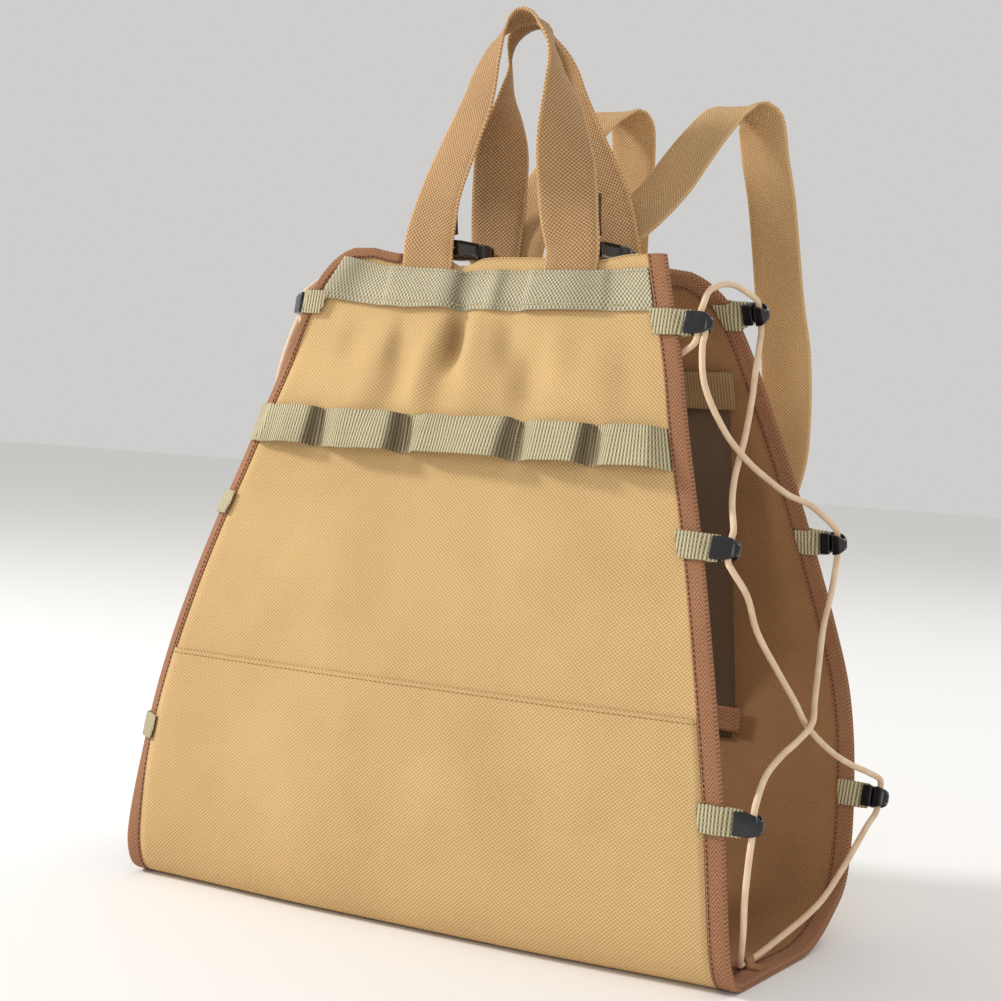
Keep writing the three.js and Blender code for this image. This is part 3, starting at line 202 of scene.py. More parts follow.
@functools.cache
def edgeAt(along, side):
    flare = carrier["edgeFlare"] * bentShare(along) if side < 0 else 0
    width = rowAt(along)[0].x + flare
    down = topDistance(along)
    radius = carrier["cornerRadius"]
    if (along < lastRow / 2 and side > 0) or down >= radius:
        return width
    return width - radius + math.sqrt(max(radius ** 2 - (radius - down) ** 2, 0))


def basePoint(x, along):
    edge, middle = rowAt(along)
    blend = smooth(0.3, 1, abs(x / edge.x))
    return Vector((x, middle.y + (edge.y - middle.y) * blend, middle.z + (edge.z - middle.z) * blend))


# Length in millimetres of one step along the profile, about a row or inwards from an end
def stepLength(along):
    return (basePoint(0, along + 0.5) - basePoint(0, along - 0.5)).length


def endStep(row, direction):
    return (basePoint(0, row + direction) - basePoint(0, row)).length


@functools.cache
def plainNormal(along):
    before, after = max(along - 0.02, 0), min(along + 0.02, lastRow)
    down = basePoint(0, after) - basePoint(0, before)
    return down.cross(Vector((1, 0, 0))).normalized()


@functools.cache
def foldsAt(along):
    panel = "front" if along < lastRow / 2 else "back"
    rise = (rowAt(along)[0].z - ground) / panelHeight
    result = []
    for foldPanel, across, start, end, spread, push in folds:
        if foldPanel != panel:
            continue
        fade = 1 - smooth(0.1, 1, abs(rise - (start + end) / 2) / ((start - end) / 2))
        if fade > 0:
            result.append((across, spread * halfWidth, push * halfDepth * fade))
    return result


# Soft unevenness of the cloth, which dies out at its edges and on the flat base
cloth = {"broad": 2.2, "broadSize": 80, "fine": 0.55, "fineSize": 26}


def unevenness(x, along, edge):
    inside = smooth(4, 46, edge.x - abs(x)) * smooth(0.02, 0.2, edge.z / panelHeight)
    if inside <= 0:
        return 0
    place = Vector((x, edge.z * 0.8 + (0 if along < lastRow / 2 else 900), 7))
    broad = noise.noise(place / cloth["broadSize"]) * cloth["broad"]
    fine = noise.noise(place / cloth["fineSize"] + Vector((9, 4, 1))) * cloth["fine"]
    return (broad + fine) * inside


def middlePoint(x, along):
    edge = rowAt(along)[0]
    point = basePoint(x, along)
    push = unevenness(x, along, edge)
    for across, spread, depth in foldsAt(along):
        offCentre = (x - across * edge.x) / spread
        if abs(offCentre) < 3:
            push += depth * math.exp(-offCentre * offCentre)
    if push:
        point += plainNormal(along) * push
    bent = bentShare(along)
    front = along < lastRow / 2
    if bent > 0:
        crease = edge.x + carrier["edgeFlare"] * bent - creaseInset
        curl = carrier["edgeSlope"] * bent * max(0, -x - crease)
        point.y += curl if front else -curl
    rise = (point.z - ground) / panelHeight
    if front and rise > carrier["cornerFrom"]:
        corner = smooth(0.55, 0.95, -x / edge.x) * smooth(carrier["cornerFrom"], 1, rise)
        point.z += carrier["cornerLift"] * corner
        near = smooth(carrier["hemFrom"], 1, rise)
        if near > 0:
            for centre, spread, depth in hemDips:
                point.z -= depth * near * math.exp(-((x - centre) / spread) ** 2)
    return point


def normalAt(x, along):
    before, after = max(along - 0.02, 0), min(along + 0.02, lastRow)
    down = middlePoint(x, after) - middlePoint(x, before)
    right = middlePoint(x + 1, along) - middlePoint(x - 1, along)
    return down.cross(right).normalized()


def surface(x, along, offset):
    return middlePoint(x, along) + normalAt(x, along) * offset


@functools.cache
def alongAt(panel, height):
    low, high = (0 if panel == "front" else lastRow), lastRow / 2
    for _ in range(40):
        middle = (low + high) / 2
        if rowAt(middle)[0].z > height:
            low = middle
        else:
            high = middle
    return (low + high) / 2


def onPanel(panel, x, height, offset):
    return surface(x, alongAt(panel, height), offset)


# Running length of the profile, for even rows and for the weave
arcSteps = 600
arcTable = [0.0]
for step in range(arcSteps):
    gap = basePoint(0, lastRow * (step + 1) / arcSteps) - basePoint(0, lastRow * step / arcSteps)
    arcTable.append(arcTable[-1] + gap.length)


def arcAt(along):
    place = min(max(along, 0), lastRow) / lastRow * arcSteps
    index = min(int(place), arcSteps - 1)
    return arcTable[index] + (arcTable[index + 1] - arcTable[index]) * (place - index)


def evenRows(start, end, gap):
    low, high = arcAt(start), arcAt(end)
    count = max(int(round((high - low) / gap)), 1)
    rows, index = [], 0
    for step in range(count + 1):
        wanted = low + (high - low) * step / count
        while index < arcSteps - 1 and arcTable[index + 1] < wanted:
            index += 1
        share = (wanted - arcTable[index]) / max(arcTable[index + 1] - arcTable[index], 1e-6)
        rows.append((index + share) / arcSteps * lastRow)
    rows[0], rows[-1] = start, end
    return rows


# Places of the hooks on the four edges
hookRows = [
    ("front", 1, 0.902, 0.01), ("front", 2, 0.592, 0), ("front", 3, 0.233, 0),
    ("back", 1, 0.93, 0), ("back", 2, 0.588, 0), ("back", 3, 0.204, 0),
]
hookSwing = {"left": 42, "right": 0, "pivot": 3.6}


def swung(out, offset, side):
    angle, reach = math.radians(hookSwing[side]), out - hookSwing["pivot"]
    return (hookSwing["pivot"] + reach * math.cos(angle) + offset * math.sin(angle),
            offset * math.cos(angle) - reach * math.sin(angle))


def edgeFrame(side, panel, height, leftLift):
    sign = -1 if side == "left" else 1
    share = height + (leftLift if side == "left" else 0)
    along = alongAt(panel, ground + share * panelHeight)
    width = edgeAt(along, sign)
    origin = middlePoint(sign * width, along)
    normal = normalAt(sign * (width + 2), along)
    outward = (middlePoint(sign * (width + 2), along) - origin).normalized()
    upright = normal.cross(outward).normalized()
    if upright.z > 0:
        upright.negate()
    return origin, outward, normal, upright


def placeAt(place, out, offset, down):
    origin, outward, normal, upright = place
    return origin + outward * out + normal * offset + upright * down


# The lacing's route, the same points as the solids have. A row is a hook, the top front edge or the keeper with
# a place out, off and down from it, or a share of the way between its neighbours with a shift across and up.
lacingRoute = [
    ("edge", -15, -14, 26), ("edge", -5, -9, 22), ("edge", 6, -5.6, 17), ("front1", 15, -1.2, 11.5),
    ("front1", 16, -0.55, 7.5), ("front1", 16, -0.55, -7.5), ("front1", 15.6, -3, -11.5), (0.18, -3.5, 8),
    (0.34, -4.6, 10.5), (0.5, -5, 11.5), (0.7, -4.5, 10), (0.88, -2.5, 5), ("back1", 18.7, -2.5, -11),
    ("back1", 18.7, -0.55, -7.5), ("back1", 18.7, -0.55, 7.5), ("back1", 19.2, -2.6, 11), (0.08, 0, -1),
    (0.21, 0, 0), (0.37, 0, -1), (0.52, -1.7, -6), (0.67, -4.6, -8.5), (0.86, -3.5, -1),
    ("front2", 18.2, -2.6, -11), ("front2", 18.7, -0.55, -7.5), ("front2", 18.7, -0.55, 7.5),
    ("front2", 21, -2, 11.5), (0.04, 6, -9), (0.1, 7, -22), (0.22, 8, -29), (0.34, 7.6, -32.5), (0.44, 6, -35),
    (0.61, 4.4, -29), (0.77, 2.4, -18), (0.91, 0.6, -6), ("back3", 18.7, -2.6, -11), ("back3", 18.7, -0.55, -7.5),
    ("back3", 18.7, -0.55, 7.5), ("back3", 18.7, -2.6, 11), (0.1, 2, 2), (0.25, 4, 1), (0.46, 7, 0), (0.7, 8.5, 0),
    ("keeper", 6, 24, 7), ("keeper", 1.2, 12, 1.2), ("keeper", 0, 6, 0), ("keeper", 0, -6, 0),
    ("keeper", 1.2, -12, 1.2), ("keeper", 9, -30, 12.4), ("keeper", 16, -46, 32), (0.7, -1, -12),
    ("front3", 18.4, -0.2, 16), ("front3", 18.7, -0.55, 7.5), ("front3", 18.7, -0.55, -7.5),
    ("front3", 18.2, -2.8, -11), (0.12, -0.6, -2.7), (0.26, 2.5, -12), (0.39, 6.2, -23.5), (0.52, 10, -31.5),
    (0.58, 8, -28.5), (0.66, 6, -17.5), (0.76, 3.4, -8.3), (0.88, 2.5, -3.4), ("back2", 18.9, -2.6, 11),
    ("back2", 18.7, -0.55, 7.5), ("back2", 18.7, -0.55, -7.5), ("back2", 18.2, -2.6, -11), (0.16, -2, -3.6),
    (0.4, 3.8, -22.5), (0.6, 8, -34.5), (0.8, 13, -45), (0.97, 14.6, -47), (1.04, 7, -28), ("front1", 21.2, 1, 14),
    ("front1", 20.9, -0.55, 7.5), ("front1", 20.9, -0.55, -1),
]
lacingCord = {"diameter": 4.0, "sides": 12, "parts": 5}


def keeperPlace(side):
    sign = -1 if side == "left" else 1
    width = rowAt(rowNames["baseMiddle"])[0].x - carrier["tapeWidth"] + 1
    tapeTop = ground + carrier["tapeOuter"] + 0.3
    return Vector((sign * width, -0.44 * halfDepth, tapeTop + 0.3 + lacingCord["diameter"] / 2))


def lacingPoints(side):
    sign = -1 if side == "left" else 1
    places = {panel + str(number): edgeFrame(side, panel, height, lift) for panel, number, height, lift in hookRows}
    lowest = keeperPlace(side)
    fixed = []
    for spot, first, second, *rest in lacingRoute:
        if spot == "keeper":
            fixed.append(lowest + Vector((sign * first, second, rest[0])))
        elif spot == "edge":
            fixed.append(placeAt(places["front1"], first, second, rest[0]))
        else:
            fixed.append(placeAt(places[spot], *swung(first, second, side), rest[0]) if spot in places else None)
    points = []
    for index, row in enumerate(lacingRoute):
        if fixed[index]:
            points.append(fixed[index])
            continue
        before = max(k for k in range(index) if fixed[k])
        after = min(k for k in range(index, len(fixed)) if fixed[k])
        points.append(fixed[before].lerp(fixed[after], row[0]) + Vector((sign * row[1], 0, row[2])))
    return points


# Mesh helpers. Corners come in millimetres; uv is in metres, across then along. Nothing reaches below the floor.
def meshPiece(name, corners, faces, faceUvs, finish, nodes=(), slot=None):
    mesh = bpy.data.meshes.new(name)
    mesh.from_pydata([(corner.x * mm, corner.y * mm, max(corner.z, 0) * mm) for corner in corners], [], faces)
    layer = mesh.uv_layers.new(name="UVMap")
    layer.data.foreach_set("uv", [value for face in faceUvs for pair in face for value in pair])
    mesh.materials.append(finishes[finish])
    piece = addObject(name, mesh)
    finishPiece(piece, slot or slots[finish], nodes)
    return piece


def facesOutwards(piece):
    work = bmesh.new()
    work.from_mesh(piece.data)
    bmesh.ops.recalc_face_normals(work, faces=work.faces)
    work.to_mesh(piece.data)
    work.free()


def smoothByAngle(piece, degrees):
    makeActive(piece)
    bpy.ops.object.shade_smooth_by_angle(angle=math.radians(degrees))


def finishPiece(piece, slot, nodes=(), flatAngle=None):
    for polygon in piece.data.polygons:
        polygon.use_smooth = True
    if flatAngle:
        smoothByAngle(piece, flatAngle)
    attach(piece, "root")
    if nodes:
        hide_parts(*nodes)


# A closed body through rings of corners; us has one value for each corner of a ring, or one more at a seam
def sweepPiece(name, rings, us, finish, nodes=()):
    count, steps = len(rings[0]), len(rings) - 1
    corners, faces, uvs, runs = [], [], [], []
    run, centre = 0.0, None
    for ring in rings:
        middle = sum(ring, Vector((0, 0, 0))) / count
        run += (middle - centre).length if centre else 0
        centre = middle
        runs.append(run * mm)
        corners.extend(ring)
    for i in range(steps):
        for k in range(count):
            turn = (k + 1) % count
            faces.append((i * count + k, i * count + turn, (i + 1) * count + turn, (i + 1) * count + k))
            left, right = us[k] * mm, us[k + 1 if len(us) > count else turn] * mm
            uvs.append(((left, runs[i]), (right, runs[i]), (right, runs[i + 1]), (left, runs[i + 1])))
    for row, order in ((0, list(reversed(range(count)))), (steps, list(range(count)))):
        faces.append([row * count + k for k in order])
        uvs.append([(us[k] * mm, runs[row]) for k in order])
    piece = meshPiece(name, corners, faces, uvs, finish, nodes)
    facesOutwards(piece)
    return piece


def neighbours(points, index):
    return points[max(index - 1, 0)], points[min(index + 1, len(points) - 1)]


def tubePiece(name, points, diameter, sides, finish, nodes=()):
    upright, rings = Vector((1, 0, 0)), []
    for index, point in enumerate(points):
        before, after = neighbours(points, index)
        forward = (after - before).normalized()
        upright = (upright - forward * upright.dot(forward)).normalized()
        aside = forward.cross(upright)
        rings.append([point + (upright * math.cos(angle) + aside * math.sin(angle)) * diameter / 2
                      for angle in (2 * math.pi * k / sides for k in range(sides))])
    us = [k * math.pi * diameter / sides for k in range(sides + 1)]
    return sweepPiece(name, rings, us, finish, nodes)


# Materials
def startMaterial(name, roughness, sheen=0.0):
    material = bpy.data.materials.new(name)
    material.use_nodes = True
    tree = material.node_tree
    shader = tree.nodes["Principled BSDF"]
    shader.inputs["Roughness"].default_value = roughness
    shader.inputs["Sheen Weight"].default_value = sheen
    return material, tree, shader


def put(tree, value, socket):
    if hasattr(value, "is_output"):
        tree.links.new(value, socket)
    else:
        socket.default_value = value


def calc(tree, operation, first, second=0.0):
    node = tree.nodes.new("ShaderNodeMath")
    node.operation = operation
    put(tree, first, node.inputs[0])
    put(tree, second, node.inputs[1])
    return node.outputs[0]


def scaled(tree, value, factor, shift):
    product = calc(tree, "MULTIPLY", value, factor)
    return calc(tree, "ADD", product, shift) if shift else product


def mixColours(tree, share, first, second):
    node = tree.nodes.new("ShaderNodeMix")
    node.data_type = "RGBA"
    node.clamp_factor = True
    put(tree, share, node.inputs[0])
    put(tree, first, node.inputs[6])
    put(tree, second, node.inputs[7])
    return node.outputs[2]


def weaveCoordinates(tree):
    source = tree.nodes.new("ShaderNodeUVMap")
    source.uv_map = "UVMap"
    split = tree.nodes.new("ShaderNodeSeparateXYZ")
    tree.links.new(source.outputs[0], split.inputs[0])
    return split.outputs[0], split.outputs[1]


def objectNoise(tree, scale, detail=3.0):
    source = tree.nodes.new("ShaderNodeTexCoord")
    node = tree.nodes.new("ShaderNodeTexNoise")
    node.inputs["Scale"].default_value = scale
    node.inputs["Detail"].default_value = detail
    tree.links.new(source.outputs["Object"], node.inputs["Vector"])
    return node.outputs[0]


def wave(tree, value, pitch):
    return calc(tree, "SINE", calc(tree, "MULTIPLY", value, 2 * math.pi / pitch))


def addBump(tree, shader, height, strength, distance):
    node = tree.nodes.new("ShaderNodeBump")
    node.inputs["Strength"].default_value = strength
    node.inputs["Distance"].default_value = distance
    put(tree, height, node.inputs["Height"])
    tree.links.new(node.outputs[0], shader.inputs["Normal"])


def rgb(red, green, blue):
    return tuple(((value / 255 + 0.055) / 1.055) ** 2.4 for value in (red, green, blue)) + (1.0,)


# Plain, ribbed or herringbone cloth: yarn over a darker ground, with broad and fine variation in tone, and painted
# shade in a crease colour where the mesh holds a value
weave = {"roughness": 0.92, "fibreScale": 900, "fibres": 0.35, "blotchScale": 16, "selvage": 0.3, "bump": 0.7}


def wovenMaterial(name, light, dark, pitch, depth=0.0004, contrast=0.55, blotch=0.35, style="dots",
                  selvage=None, crease=None):
    material, tree, shader = startMaterial(name, weave["roughness"])
    across, along = weaveCoordinates(tree)
    if style == "herringbone":
        folded = calc(tree, "PINGPONG", across, pitch * 1.6)
        pattern = scaled(tree, wave(tree, scaled(tree, folded, 1.1, along), pitch), 0.42, 0.5)
    elif style == "ribs":
        ribs, cross = wave(tree, along, pitch), wave(tree, across, pitch * 1.3)
        pattern = scaled(tree, calc(tree, "MULTIPLY", ribs, cross), 0.16, scaled(tree, ribs, 0.34, 0.5))
    else:
        dots = calc(tree, "MULTIPLY", wave(tree, across, pitch), wave(tree, along, pitch * 0.85))
        pattern = scaled(tree, dots, 0.5, 0.5)
    fibres = calc(tree, "SUBTRACT", objectNoise(tree, weave["fibreScale"], 2), 0.5)
    pattern = scaled(tree, fibres, weave["fibres"], pattern)
    broad = calc(tree, "SUBTRACT", objectNoise(tree, weave["blotchScale"], 4), 0.5)
    tone = scaled(tree, broad, blotch, scaled(tree, pattern, contrast, 1 - contrast))
    if selvage:
        border = calc(tree, "GREATER_THAN", calc(tree, "ABSOLUTE", across), selvage)
        tone = scaled(tree, border, weave["selvage"], tone)
    colour = mixColours(tree, tone, rgb(*dark), rgb(*light))
    # Painted shade: the crease colour darkens the cloth by the value kept on the mesh
    if crease:  # darker where the piece's own crease value is high
        paintedShade = tree.nodes.new("ShaderNodeAttribute")
        paintedShade.attribute_name = "crease"
        colour = mixColours(tree, paintedShade.outputs["Fac"], colour, rgb(*crease))
    put(tree, colour, shader.inputs["Base Color"])
    addBump(tree, shader, pattern, weave["bump"], depth)
    return material


# Painted shade kept on the mesh, one value for each corner
def setPaintedShade(piece, values):
    layer = piece.data.attributes.new("crease", "FLOAT", "POINT")
    layer.data.foreach_set("value", values)


def plasticMaterial():
    material, tree, shader = startMaterial("blackPlastic", 0.25)
    speck = objectNoise(tree, 260, 3)
    put(tree, mixColours(tree, speck, rgb(14, 14, 16), rgb(34, 35, 38)), shader.inputs["Base Color"])
    put(tree, scaled(tree, speck, 0.2, 0.1), shader.inputs["Roughness"])
    addBump(tree, shader, objectNoise(tree, 1400, 2), 0.15, 0.0001)
    return material


def cordMaterial():
    material, tree, shader = startMaterial("paleCord", 0.75, 0.1)
    across, along = weaveCoordinates(tree)
    one = wave(tree, calc(tree, "ADD", along, across), 0.0021)
    two = wave(tree, calc(tree, "SUBTRACT", along, across), 0.0021)
    braid = scaled(tree, calc(tree, "MULTIPLY", one, two), 0.5, 0.5)
    tone = scaled(tree, braid, 0.45, calc(tree, "MULTIPLY", objectNoise(tree, 70, 3), 0.8))
    put(tree, mixColours(tree, tone, rgb(196, 150, 112), rgb(244, 220, 186)), shader.inputs["Base Color"])
    addBump(tree, shader, braid, 0.5, 0.0002)
    return material


# finish: slot, material name, light yarn, dark yarn, pitch in metres, then what differs from the plain settings; a
# crease colour is the colour of painted shade
cloths = {
    "canvas": ("canvas", "canvasCloth", (226, 190, 132), (132, 96, 52), 0.0029,
               {"contrast": 0.62, "blotch": 0.3, "crease": (112, 78, 44)}),
    # Painted shade: a darker, browner copy of the canvas for the canvas's inside faces, also used on the cord keepers
    "canvasShaded": ("canvas", "canvasShaded", (176, 130, 84), (104, 68, 38), 0.0027,
                     {"contrast": 0.62, "blotch": 0.6}),
    "tape": ("edge_tape", "edgeTape", (184, 130, 92), (88, 52, 34), 0.0026,
             {"contrast": 0.8, "style": "herringbone"}),
    "olive": ("olive_webbing", "oliveWebbing", (224, 211, 170), (76, 66, 40), 0.0023,
              {"contrast": 1.0, "style": "ribs", "crease": (62, 44, 26)}),
    "tan": ("tan_webbing", "tanWebbing", (214, 170, 118), (78, 48, 28), 0.0030,
            {"contrast": 0.82, "depth": 0.0007, "selvage": 0.0174}),
    "strap": ("tan_webbing", "strapWebbing", (220, 182, 130), (120, 82, 48), 0.0026,
              {"contrast": 0.7, "depth": 0.0006, "selvage": 0.0174}),
    "oliveCheck": ("olive_webbing", "oliveCheck", (226, 214, 180), (62, 56, 34), 0.0031,
                   {"contrast": 0.9, "depth": 0.0006, "crease": (70, 64, 42)}),
    "oliveThread": ("olive_webbing", "oliveThread", (206, 192, 150), (150, 138, 104), 0.0012, {"contrast": 0.4}),
    # Painted shade: a darker copy of the olive webbing for the band inside the back panel
    "shadedOlive": ("olive_webbing", "shadedWebbing", (176, 144, 98), (96, 74, 46), 0.0021,
                   {"contrast": 0.8, "style": "ribs"}),
    "dark": ("dark_webbing", "darkWebbing", (104, 80, 56), (52, 37, 25), 0.0026, {"contrast": 0.6}),
    "thread": ("canvas", "sewingThread", (186, 142, 86), (132, 94, 54), 0.0012, {"contrast": 0.4}),
    # Painted shadow: the tape's stitches are dark brown to stand for the shadow gap between tape and canvas
    "shadowGapThread": ("edge_tape", "shadowGapThread", (104, 62, 42), (62, 36, 24), 0.0012, {"contrast": 0.4}),
    "tackThread": ("edge_tape", "tackThread", (176, 96, 70), (120, 58, 40), 0.0012, {"contrast": 0.4}),
}
finishes = {key: wovenMaterial(*row[1:5], **row[5]) for key, row in cloths.items()}
finishes.update(plastic=plasticMaterial(), cord=cordMaterial())
slots = {"plastic": "black_plastic", "cord": "pale_cord", **{key: row[0] for key, row in cloths.items()}}
print("stage: finishes made")


# Cords
def addCords():
    for side in ("left", "right"):
        route = lacingPoints(side)
        parts = lacingCord["parts"]
        points = []
        for index in range(len(route) - 1):
            points.extend(splinePoint(route, index + part / parts) for part in range(parts))
        points.append(route[-1])
        piece = tubePiece("lacingCord" + side.capitalize(), points, lacingCord["diameter"], lacingCord["sides"],
                          "cord", ["cord_" + side])


addCords()
print("stage: cords laced")

# Canvas, with the second layer over its base
# The inside faces take a darker copy of the canvas as painted shade
canvas = {"rowGap": 5.0, "inside": 84, "edgeParts": 4, "offset": 0, "thickness": 1.8, "inner": "canvasShaded",
          "hemDepth": 11}
reinforcement = {"rowGap": 5, "parts": 84, "offset": 1.75, "thickness": 1.3, "inner": "canvas", "frontInset": 11.4}
seams = {"inwards": 2.6, "panelEdge": 0.075, "lift": 2.4, "hemReach": 108, "hemLift": 0.9}


def acrossPlaces(along):
    left, right = -edgeAt(along, -1), edgeAt(along, 1)
    innerLeft, innerRight = left + creaseInset, right - creaseInset
    return (spaced(left, innerLeft, canvas["edgeParts"])[:-1] + spaced(innerLeft, innerRight, canvas["inside"])[:-1]
            + spaced(innerRight, right, canvas["edgeParts"]))


def reinforcementPlaces(along):
    widening = 1 - smooth(*carrier["tapeWidens"], along)
    inset = creaseInset - (creaseInset - reinforcement["frontInset"]) * widening
    return spaced(inset - edgeAt(along, -1), edgeAt(along, 1) - inset, reinforcement["parts"])


# How deep a place lies in the shaded left slopes of the folds, as a share of the darkest tone
shade = {"leftwards": 0.7, "reach": 2.5, "least": 1.5, "range": 8, "most": 0.75}


def paintedShadeAt(x, along):
    width, total = rowAt(along)[0].x, 0.0
    for across, spread, depth in foldsAt(along):
        offCentre = (x - across * width) / spread + shade["leftwards"]
        if abs(offCentre) < shade["reach"]:
            total -= depth * math.exp(-offCentre * offCentre)
    return min(max(total - shade["least"], 0) / shade["range"], shade["most"])


def sheetPiece(name, node, rows, placesAt, values):
    grid = [placesAt(along) for along in rows]
    count, offset = len(grid[0]), values["offset"]
    corners, faces, uvs = [], [], []
    for along, places in zip(rows, grid):
        corners.extend(surface(x, along, offset) if offset else middlePoint(x, along) for x in places)
    for i in range(len(rows) - 1):
        low, high = arcAt(rows[i]) * mm, arcAt(rows[i + 1]) * mm
        for k in range(count - 1):
            quad = ((i, k, low), (i + 1, k, high), (i + 1, k + 1, high), (i, k + 1, low))
            faces.append([row * count + column for row, column, _ in quad])
            uvs.append([(grid[row][column] * mm, run) for row, column, run in quad])
    piece = meshPiece(name, corners, faces, uvs, "canvas", [node])
    piece.data.materials.append(finishes[values["inner"]])
    # painted shade on the left slopes of the folds, kept on the canvas mesh
    setPaintedShade(piece, [paintedShadeAt(x, along) for along, places in zip(rows, grid) for x in places])
    applyModifier(piece, "SOLIDIFY", thickness=values["thickness"] * mm, offset=0, use_even_offset=True,
                  material_offset=1)


def addCanvas():
    sheetPiece("canvasSheet", "canvas_body", evenRows(0, lastRow, canvas["rowGap"]), acrossPlaces, canvas)
    first, last = rowNames["frontSeam"], rowNames["backSeam"]
    rows = evenRows(first - seams["panelEdge"], last, reinforcement["rowGap"])
    sheetPiece("baseReinforcement", "base_panel", rows, reinforcementPlaces, reinforcement)


addCanvas()
print("stage: canvas sheets made")

# The folded tape round the edges: inward distance against offset from the canvas
edgeTape = {"rowGap": 3.2, "wobble": 0.45, "rolled": 0.4, "rolledReach": (51, 102), "outer": 0.78,
            "innerWidens": (13, 17), "backInner": 0.74, "stitchIn": 12.4, "face": 2.45, "legGap": 2}
tapeOutline = [
    (14.5, 1.05), (14.5, 1.9), (13.8, 2.25), (10, 2.4), (5, 2.45), (1, 2.4), (-0.6, 2.1), (-1.15, 1.2), (-1.3, 0),
    (-1.15, -1.2), (-0.6, -2.1), (1, -2.4), (5, -2.45), (10, -2.4), (13.8, -2.25), (14.5, -1.9), (14.5, -1.05),
    (6, -1.0), (0, -1.0), (-0.3, 0), (0, 1.0), (6, 1.0),
]


def tapeRing(side, x, along, before, after, outline):
    rounded = topDistance(along) < carrier["cornerRadius"] and (side < 0 or along > lastRow / 2)
    if not rounded:
        inward = (middlePoint(x - side, along) - middlePoint(x, along)).normalized()
        return [surface(x - side * max(distance, 0), along, offset) + inward * min(distance, 0)
                for distance, offset in outline]
    inward = (after - before).normalized().cross(normalAt(x, along)).normalized() * side
    toward = 0.05 if along < lastRow - 0.05 else -0.05
    slope = (middlePoint(x, along + toward) - middlePoint(x, along)) / toward
    rowShare = inward.dot(slope.normalized())
    sideShare = inward.x - rowShare * slope.x / slope.length
    ring = []
    for distance, offset in outline:
        kept = max(distance, 0)
        there = min(max(along + kept * rowShare / slope.length, 0), lastRow)
        ring.append(surface(x + kept * sideShare, there, offset) + inward * min(distance, 0))
    return ring


# Round one edge, and on along the rounded top corners to the handle's legs
def tapePath(side):
    leg = legPlaces("front")[0 if side < 0 else 1]
    stop = leg + side * (carrier["strapWidth"] / 2 + edgeTape["legGap"])
    path = [(side * edgeAt(along, side), along) for along in evenRows(0, lastRow, edgeTape["rowGap"])]
    start, end = path[0][0], path[-1][0]
    if side < 0:
        count = max(int(abs(start - stop) / edgeTape["rowGap"]), 1)
        path = [(x, 0) for x in spaced(stop, start, count)[:-1]] + path
    count = max(int(abs(end - stop) / edgeTape["rowGap"]), 1)
    return path + [(x, lastRow) for x in spaced(end, stop, count)[1:]]


def addBinding(side):
    path = tapePath(side)
    middles = [middlePoint(x, along) for x, along in path]
    rings, stitched = [], {"Outside": [], "Inside": []}
    for index, (x, along) in enumerate(path):
        spot = (side, x, along, *neighbours(middles, index))
        wobble = noise.noise(Vector((index * 0.11, side * 3, 0))) * edgeTape["wobble"]
        narrow = edgeTape["outer"] + (1 - edgeTape["outer"]) * smooth(*carrier["tapeWidens"], along)
        if side < 0 and along < lastRow / 2:
            unrolled = smooth(*edgeTape["rolledReach"], topDistance(along))
            narrow = edgeTape["rolled"] + (narrow - edgeTape["rolled"]) * unrolled
        hidden = 1 - (1 - edgeTape["backInner"]) * smooth(*edgeTape["innerWidens"], along)
        outline = []
        for distance, offset in tapeOutline:
            share = (narrow if offset > 0 else hidden) if distance > 0 else 1
            outline.append(((distance + (wobble if distance > 13 else 0)) * share, offset))
        rings.append(tapeRing(*spot, outline))
        for face, share, sign in (("Outside", narrow, 1), ("Inside", hidden, -1)):
            inside, low = edgeTape["stitchIn"] * share, edgeTape["face"] * sign
            stitched[face].append(tapeRing(*spot, [(inside, low), (inside, low + sign)]))
    us = [distance if offset >= 0 else 30 - distance for distance, offset in tapeOutline]
    label = "Left" if side < 0 else "Right"
    sweepPiece("edgeTape" + label, rings, us, "tape", ["binding_" + label.lower()])
    for face, pairs in stitched.items():
        # the stitches' dark brown paints the shadow gap beside the tape
        stitchRow("tapeStitches" + face + label, [low for low, _ in pairs],
                  [(high - low).normalized() for low, high in pairs], "shadowGapThread")


# Rows of small stitches that lie half sunk in the cloth
stitch = {"pitch": 3.4, "length": 2.5, "radius": 0.36, "lift": 0.1}


def stitchRow(name, points, normals, finish, slot=None):
    corners, faces, uvs = [], [], []
    run, wanted = 0.0, stitch["pitch"] / 2
    for index in range(len(points) - 1):
        gap = (points[index + 1] - points[index]).length
        while gap > 0 and run + gap >= wanted:
            up = normals[index]
            centre = points[index].lerp(points[index + 1], (wanted - run) / gap) + up * stitch["lift"]
            forward = (points[index + 1] - points[index]).normalized()
            aside = forward.cross(up).normalized()
            start = len(corners)
            for along, size in ((-0.5, 0.4), (-0.3, 1), (0.3, 1), (0.5, 0.4)):
                for k in range(5):
                    angle = 2 * math.pi * k / 5
                    reach = (aside * math.cos(angle) + up * math.sin(angle)) * stitch["radius"] * size
                    corners.append(centre + forward * along * stitch["length"] + reach)
            for ring in range(3):
                for k in range(5):
                    low, turn = start + ring * 5, (k + 1) % 5
                    faces.append((low + k, low + turn, low + 5 + turn, low + 5 + k))
                    uvs.append(((0, 0), (0.0003, 0), (0.0003, 0.001), (0, 0.001)))
            faces.append([start + k for k in reversed(range(5))])
            faces.append([start + 15 + k for k in range(5)])
            uvs.extend([[(0, 0)] * 5] * 2)
            wanted += stitch["pitch"]
        run += gap
    facesOutwards(meshPiece(name, corners, faces, uvs, finish, slot=slot))


legs = {"front": (-0.211, 0.27), "back": (-0.198, 0.216), "shoulder": (-0.126, 0.135)}


def legPlaces(kind):
    return [share * halfWidth for share in legs[kind]]


for side in (-1, 1):
    addBinding(side)
print("stage: edge tapes sewn on")


